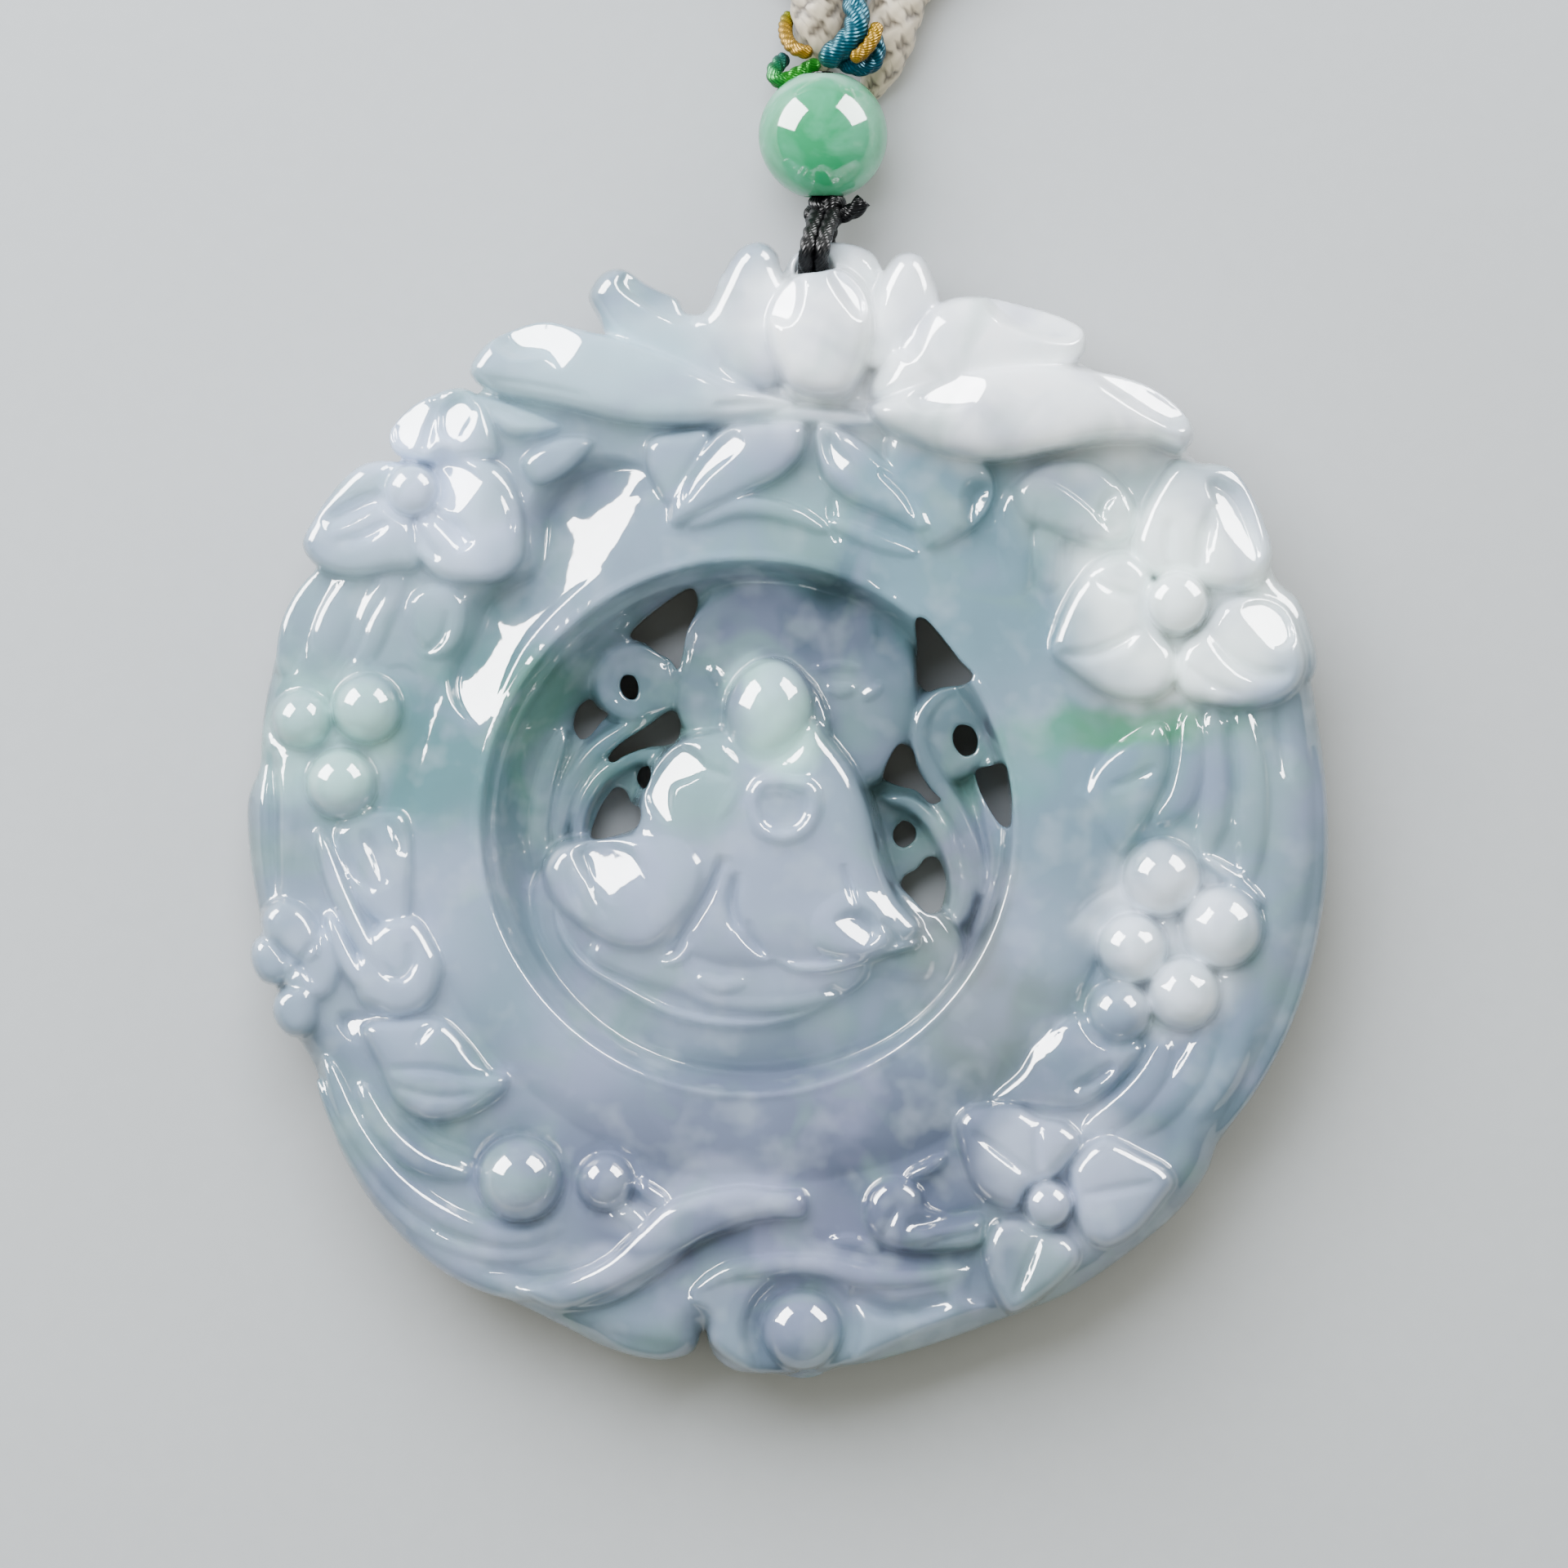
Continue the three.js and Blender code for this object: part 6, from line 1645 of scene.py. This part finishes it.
@dataclass
class Wraps:
    """The twisted threads that bind the cord's two ends together above the bead."""

    teal_over: tuple[Point3, ...] = (
        (3.6, 46.2, 1.2), (3.5, 45.2, 3.0), (3.55, 44.1, 4.0), (3.7, 43.2, 4.4), (3.55, 42.5, 4.55),
        (3.0, 41.8, 4.6), (2.35, 41.25, 4.5), (1.75, 40.8, 4.3),
    )
    teal_under: tuple[Point3, ...] = (
        (-0.1, 41.4, 1.2), (-0.45, 41.0, 1.6), (-0.75, 40.5, 2.1), (-0.6, 40.05, 2.4), (-0.1, 40.05, 2.3),
        (0.5, 40.35, 2.1), (1.15, 40.7, 2.0), (1.7, 41.0, 2.2),
    )
    teal_round: tuple[Point3, ...] = (
        (4.35, 42.45, 3.6), (4.65, 42.05, 3.75), (4.75, 41.5, 3.8), (4.6, 40.95, 3.8), (4.15, 40.65, 3.85),
        (3.55, 40.65, 3.85), (2.9, 40.95, 3.6), (2.4, 41.3, 3.3),
    )
    teal_radii: tuple[float, float, float] = (0.7, 0.45, 0.5)
    gold_left: tuple[Point3, ...] = (
        (0.1, 43.7, 0.6), (-0.1, 43.2, 1.2), (-0.15, 42.7, 1.9), (-0.05, 42.2, 2.6), (0.25, 41.75, 3.2),
        (0.75, 41.5, 3.55), (1.35, 41.45, 3.6),
    )
    gold_right: tuple[Point3, ...] = (
        (4.75, 43.0, 4.4), (4.65, 42.4, 4.6), (4.35, 41.8, 4.8), (3.9, 41.3, 4.95), (3.35, 40.95, 5.1),
    )
    gold_radius: float = 0.4
    sides: int = 24
    ring_spacing: float = 0.07

    def twisted(self, route: tuple[Point3, ...], half: float, start: float, name: str) -> bpy.types.Mesh:
        """Twists three plies into a thread with rounded ends.

        Args:
            route: the thread's middle line.
            half: its radius.
            start: the length at which its run of colours starts.
            name: the mesh's name.

        Returns:
            The thread's mesh.
        """
        plies, lay = 3, 4.2 * half

        def radius(length: np.ndarray, angle: np.ndarray) -> np.ndarray:
            """Gives the thread's radius, with its plies standing out and its ends rounded."""
            crest = np.abs(np.cos(plies / 2 * (angle - 2 * np.pi * length / lay)))
            from_end = np.minimum(length, length.max() - length)
            return half * (0.8 + 0.2 * crest**0.7) * np.maximum(dome(from_end / half), 0.12)

        mesh = swept(curve_through(route, self.ring_spacing), radius, self.sides, name)
        layer = mesh.uv_layers["along_round"]
        uv = np.zeros(2 * len(mesh.loops))
        layer.data.foreach_get("uv", uv)
        uv[0::2] += start
        layer.data.foreach_set("uv", uv)
        return mesh

    def build(self, teal: bpy.types.Material, gold: bpy.types.Material) -> list[bpy.types.Object]:
        """Makes both threads in place of their solids.

        Args:
            teal, gold: the threads' finishes.

        Returns:
            The teal thread and the gold thread.
        """
        over, under, around = self.teal_radii
        teal_runs = (
            (self.teal_over, over, 0.0), (self.teal_under, under, 7.1), (self.teal_round, around, 0.0),
        )
        gold_runs = ((self.gold_left, self.gold_radius, 0.0), (self.gold_right, self.gold_radius, 1.6))
        made = []
        for name, node, slot, runs, material in (
            ("teal_thread", "teal_cord_wrap", "teal_silk", teal_runs, teal),
            ("gold_thread", "gold_thread_wrap", "gold_silk", gold_runs, gold),
        ):
            piece = joined([piece_from(self.twisted(route, half, start, name), name, material)
                            for route, half, start in runs], name)
            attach(piece, "root")
            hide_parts(node)
            made.append(piece)
        return made


@dataclass
class GreenBead:
    """The drilled bead above the carving."""

    radius: float = 3.47
    bore: float = 0.95
    centre: Point3 = (1.87, 37.0, 3.47)
    segments: int = 96

    def build(self, material: bpy.types.Material) -> bpy.types.Object:
        """Turns the bead round its drilled hole, with the hole's mouths softened.

        Args:
            material: the bead's finish.

        Returns:
            The bead.
        """
        soften = 0.16
        mouth = math.acos((self.bore + soften) / self.radius)
        around = np.linspace(-mouth, mouth, 49)
        profile = [(self.radius * math.cos(angle), self.radius * math.sin(angle)) for angle in around]
        low, high = profile[0][1], profile[-1][1]
        for turn in np.linspace(0, math.pi / 2, 5)[1:]:
            profile.append((self.bore + soften * (1 - math.sin(turn)), high - soften * (1 - math.cos(turn))))
        inner = np.linspace(high - soften, low + soften, 8)[1:-1]
        profile += [(self.bore, float(at)) for at in inner]
        for turn in np.linspace(math.pi / 2, 0, 5)[:-1]:
            profile.append((self.bore + soften * (1 - math.sin(turn)), low + soften * (1 - math.cos(turn))))
        ring = len(profile)
        places = []
        for i in range(self.segments):
            angle = 2 * math.pi * i / self.segments
            for out, along in profile:
                places.append((self.centre[0] + out * math.cos(angle), self.centre[1] + along,
                               self.centre[2] + out * math.sin(angle)))
        quads = []
        for i in range(self.segments):
            after = (i + 1) % self.segments
            for j in range(ring):
                up = (j + 1) % ring
                quads.append((i * ring + j, i * ring + up, after * ring + up, after * ring + j))
        mesh = mesh_from(np.array(places) * MM, np.array(quads), "drilled_bead")
        piece = piece_from(mesh, "drilled_bead", material)
        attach(piece, "root")
        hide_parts("green_bead")
        return piece


@dataclass
class SilkLoop:
    """The black silk: the loop through the petal, its knot and tail, and the strand up through the bead."""

    knot: Point3 = (2.0, 32.95, 3.6)
    loop_route: tuple[Point3, ...] = (
        (2.0, 32.9, 4.0), (1.85, 32.3, 5.4), (1.6, 31.6, 6.7), (1.4, 30.7, 7.4), (1.35, 29.95, 6.8),
        (1.35, 29.4, 4.6), (1.35, 29.0, 2.6), (1.45, 29.3, 1.4), (1.6, 30.5, 1.2), (1.8, 31.7, 1.7),
        (2.0, 32.7, 3.1),
    )
    tail_route: tuple[Point3, ...] = (
        (2.1, 32.8, 3.8), (3.0, 32.75, 4.0), (3.6, 33.0, 4.2), (4.05, 33.5, 4.25),
    )
    strand_route: tuple[Point3, ...] = (
        (2.0, 32.9, 3.47), (1.9, 34.0, 3.47), (1.87, 37.0, 3.47), (1.87, 40.4, 3.47),
    )
    radius: float = 0.6
    thread: float = 0.44
    apart: float = 0.4
    hoops: tuple[tuple[float, float], ...] = ((0.5, 0.8), (2.0, 0.75), (3.6, 0.8), (1.2, 0.45))

    def twisted(
        self, route: Sequence[Point3], half: float, name: str, material: bpy.types.Material
    ) -> bpy.types.Object:
        """Twists three plies into a silk thread.

        Args:
            route: the thread's middle line.
            half: its radius.
            name: its name.
            material: its finish.

        Returns:
            The thread.
        """
        plies, lay = 3, 2.6

        def radius(length: np.ndarray, angle: np.ndarray) -> np.ndarray:
            """Gives the thread's radius, with its plies standing out."""
            crest = np.abs(np.cos(plies / 2 * (angle - 2 * np.pi * length / lay)))
            return half * (0.76 + 0.24 * crest**0.7)

        return piece_from(swept(curve_through(route, 0.08), radius, 20, name), name, material)

    def hoop(self, tilt: float, reach: float) -> list[Point3]:
        """Lays one turn of the knot round its middle.

        Args:
            tilt: which way the turn faces, in radians.
            reach: its radius.

        Returns:
            The turn's points.
        """
        turn = []
        for i in range(13):
            angle = 2 * math.pi * i / 12
            across, along = math.cos(angle) * reach, 0.3 * math.sin(2 * angle)
            turn.append((
                self.knot[0] + across * math.cos(tilt) - along * math.sin(tilt),
                self.knot[1] + across * math.sin(tilt) + along * math.cos(tilt),
                self.knot[2] + math.sin(angle) * reach,
            ))
        return turn

    def build(self, material: bpy.types.Material) -> bpy.types.Object:
        """Makes the silk in place of its solid, as one piece.

        Args:
            material: the silk's finish.

        Returns:
            The silk.
        """
        runs = [("silk_strand", self.strand_route, self.radius)]
        runs.append(("silk_tail", self.tail_route, self.radius * 0.8))
        for shift in (-self.apart, self.apart):
            runs.append(("silk_loop", [(x + shift, y, z) for x, y, z in self.loop_route], self.thread))
        for tilt, reach in self.hoops:
            runs.append(("silk_hoop", self.hoop(tilt, reach), self.thread))
        made = [self.twisted(route, half, name, material) for name, route, half in runs]
        piece = joined(made, "black_silk")
        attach(piece, "root")
        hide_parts("black_silk_loop")
        return piece


# Stage


@dataclass(frozen=True)
class Softbox:
    """A softbox: where it hangs from the object, its side in metres, and its power in watts.

    A glossy one shows only as a highlight, and another gives only light.
    """

    name: str
    direction: Point3
    size: float
    power: float
    glossy: bool
    colour: str = "#ffffff"
    distance: float = 0.5


@dataclass
class Studio:
    """The floor, the lights and the camera, which looks straight down."""

    middle: Point3 = (-0.22, 2.26, 7.0)
    frame_width: float = 83.5
    camera_height: float = 620.0
    sensor: float = 36.0
    floor_size: float = 3.0
    floor_gap: float = 0.05
    floor_colour: str = "#aeafae"
    room_colour: str = "#eff0e4"
    room_strength: float = 0.9
    softboxes: tuple[Softbox, ...] = (
        Softbox("left_highlight", (-0.77, 0.56, 0.33), 0.38, 28.0, glossy=True),
        Softbox("right_highlight", (0.70, 0.66, 0.27), 0.37, 22.0, glossy=True),
        Softbox("overhead", (-0.35, 0.75, 0.9), 0.3, 3.3, glossy=False, colour="#eaf2ff", distance=0.32),
    )

    def camera(self) -> None:
        """Makes the camera, with the lens that shows `frame_width` at the height of the carving's face."""
        data = bpy.data.cameras.new("camera")
        data.sensor_width = self.sensor
        data.lens = self.sensor * (self.camera_height - self.middle[2]) / self.frame_width
        camera = bpy.data.objects.new("camera", data)
        camera.location = (self.middle[0] * MM, self.middle[1] * MM, self.camera_height * MM)
        bpy.context.collection.objects.link(camera)
        bpy.context.scene.camera = camera

    def floor(self) -> None:
        """Lays the plain pale floor."""
        half = self.floor_size / 2
        mesh = bpy.data.meshes.new("floor")
        z = -self.floor_gap * MM
        corners = [(-half, -half, z), (half, -half, z), (half, half, z), (-half, half, z)]
        mesh.from_pydata(corners, [], [(0, 1, 2, 3)])
        # Matt painted board: pale and plain, with a grain too faint to draw the eye.
        material, tree, shader = new_material("matt_floor", {"Roughness": 0.8})
        place = add_node(tree, "ShaderNodeTexCoord").outputs["Object"]
        grain = add_node(tree, "ShaderNodeTexNoise", {"Vector": place, "Scale": 900.0, "Detail": 2.0})
        tone = add_node(tree, "ShaderNodeMapRange", {0: grain.outputs[0], 3: 0.97, 4: 1.03})
        hue = add_node(tree, "ShaderNodeHueSaturation", {"Color": linear(self.floor_colour),
                                                         "Value": tone.outputs[0]})
        tree.links.new(hue.outputs[0], shader.inputs["Base Color"])
        piece_from(mesh, "floor", material)

    def lights(self) -> None:
        """Hangs the softboxes, and sets the soft light all round."""
        aim = Vector((0, 0, 0.006))
        for box in self.softboxes:
            data = bpy.data.lights.new(box.name, "AREA")
            data.shape = "SQUARE"
            data.size = box.size
            data.energy = box.power
            data.color = linear(box.colour)[:3]
            light = bpy.data.objects.new(box.name, data)
            place = aim + Vector(box.direction).normalized() * box.distance
            light.location = place
            light.rotation_euler = (place - aim).to_track_quat("Z", "Y").to_euler()
            light.visible_glossy = box.glossy
            light.visible_diffuse = not box.glossy
            bpy.context.collection.objects.link(light)
        world = bpy.data.worlds.new("studio")
        world.use_nodes = True
        background = world.node_tree.nodes["Background"]
        background.inputs[0].default_value = linear(self.room_colour)
        background.inputs[1].default_value = self.room_strength
        world.cycles_visibility.glossy = False
        bpy.context.scene.world = world


def main() -> None:
    """Builds the pendant and its studio, and reports each piece."""
    logging.basicConfig(level=logging.INFO, format="%(name)s: %(message)s")
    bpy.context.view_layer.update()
    studio = Studio()
    studio.camera()
    teal = TwistedSilk("teal_silk", ("#01404e", "#013a48", "#024554", "#01404a", "#147212"), change=2.4,
                       roughness=0.36, metallic=0.4, shine=0.2)
    gold = TwistedSilk("gold_silk", ("#526602", "#866600", "#765800"), roughness=0.38, metallic=0.4,
                       shine=0.2)
    black = TwistedSilk("black_silk", ("#020203", "#040405"), roughness=0.34, shine=0.16)
    wraps = Wraps().build(teal.build(), gold.build())
    NecklaceCord().build(BraidedPolyester().build(), wraps)
    LOG.info("cord and wraps made")
    JadeCarving().build(PolishedJadeite().build())
    LOG.info("carving made")
    GreenBead().build(GreenJadeite().build())
    LOG.info("bead made")
    SilkLoop().build(black.build())
    LOG.info("silk made")
    studio.floor()
    studio.lights()
    bpy.context.view_layer.update()


if __name__ == "__main__":
    main()
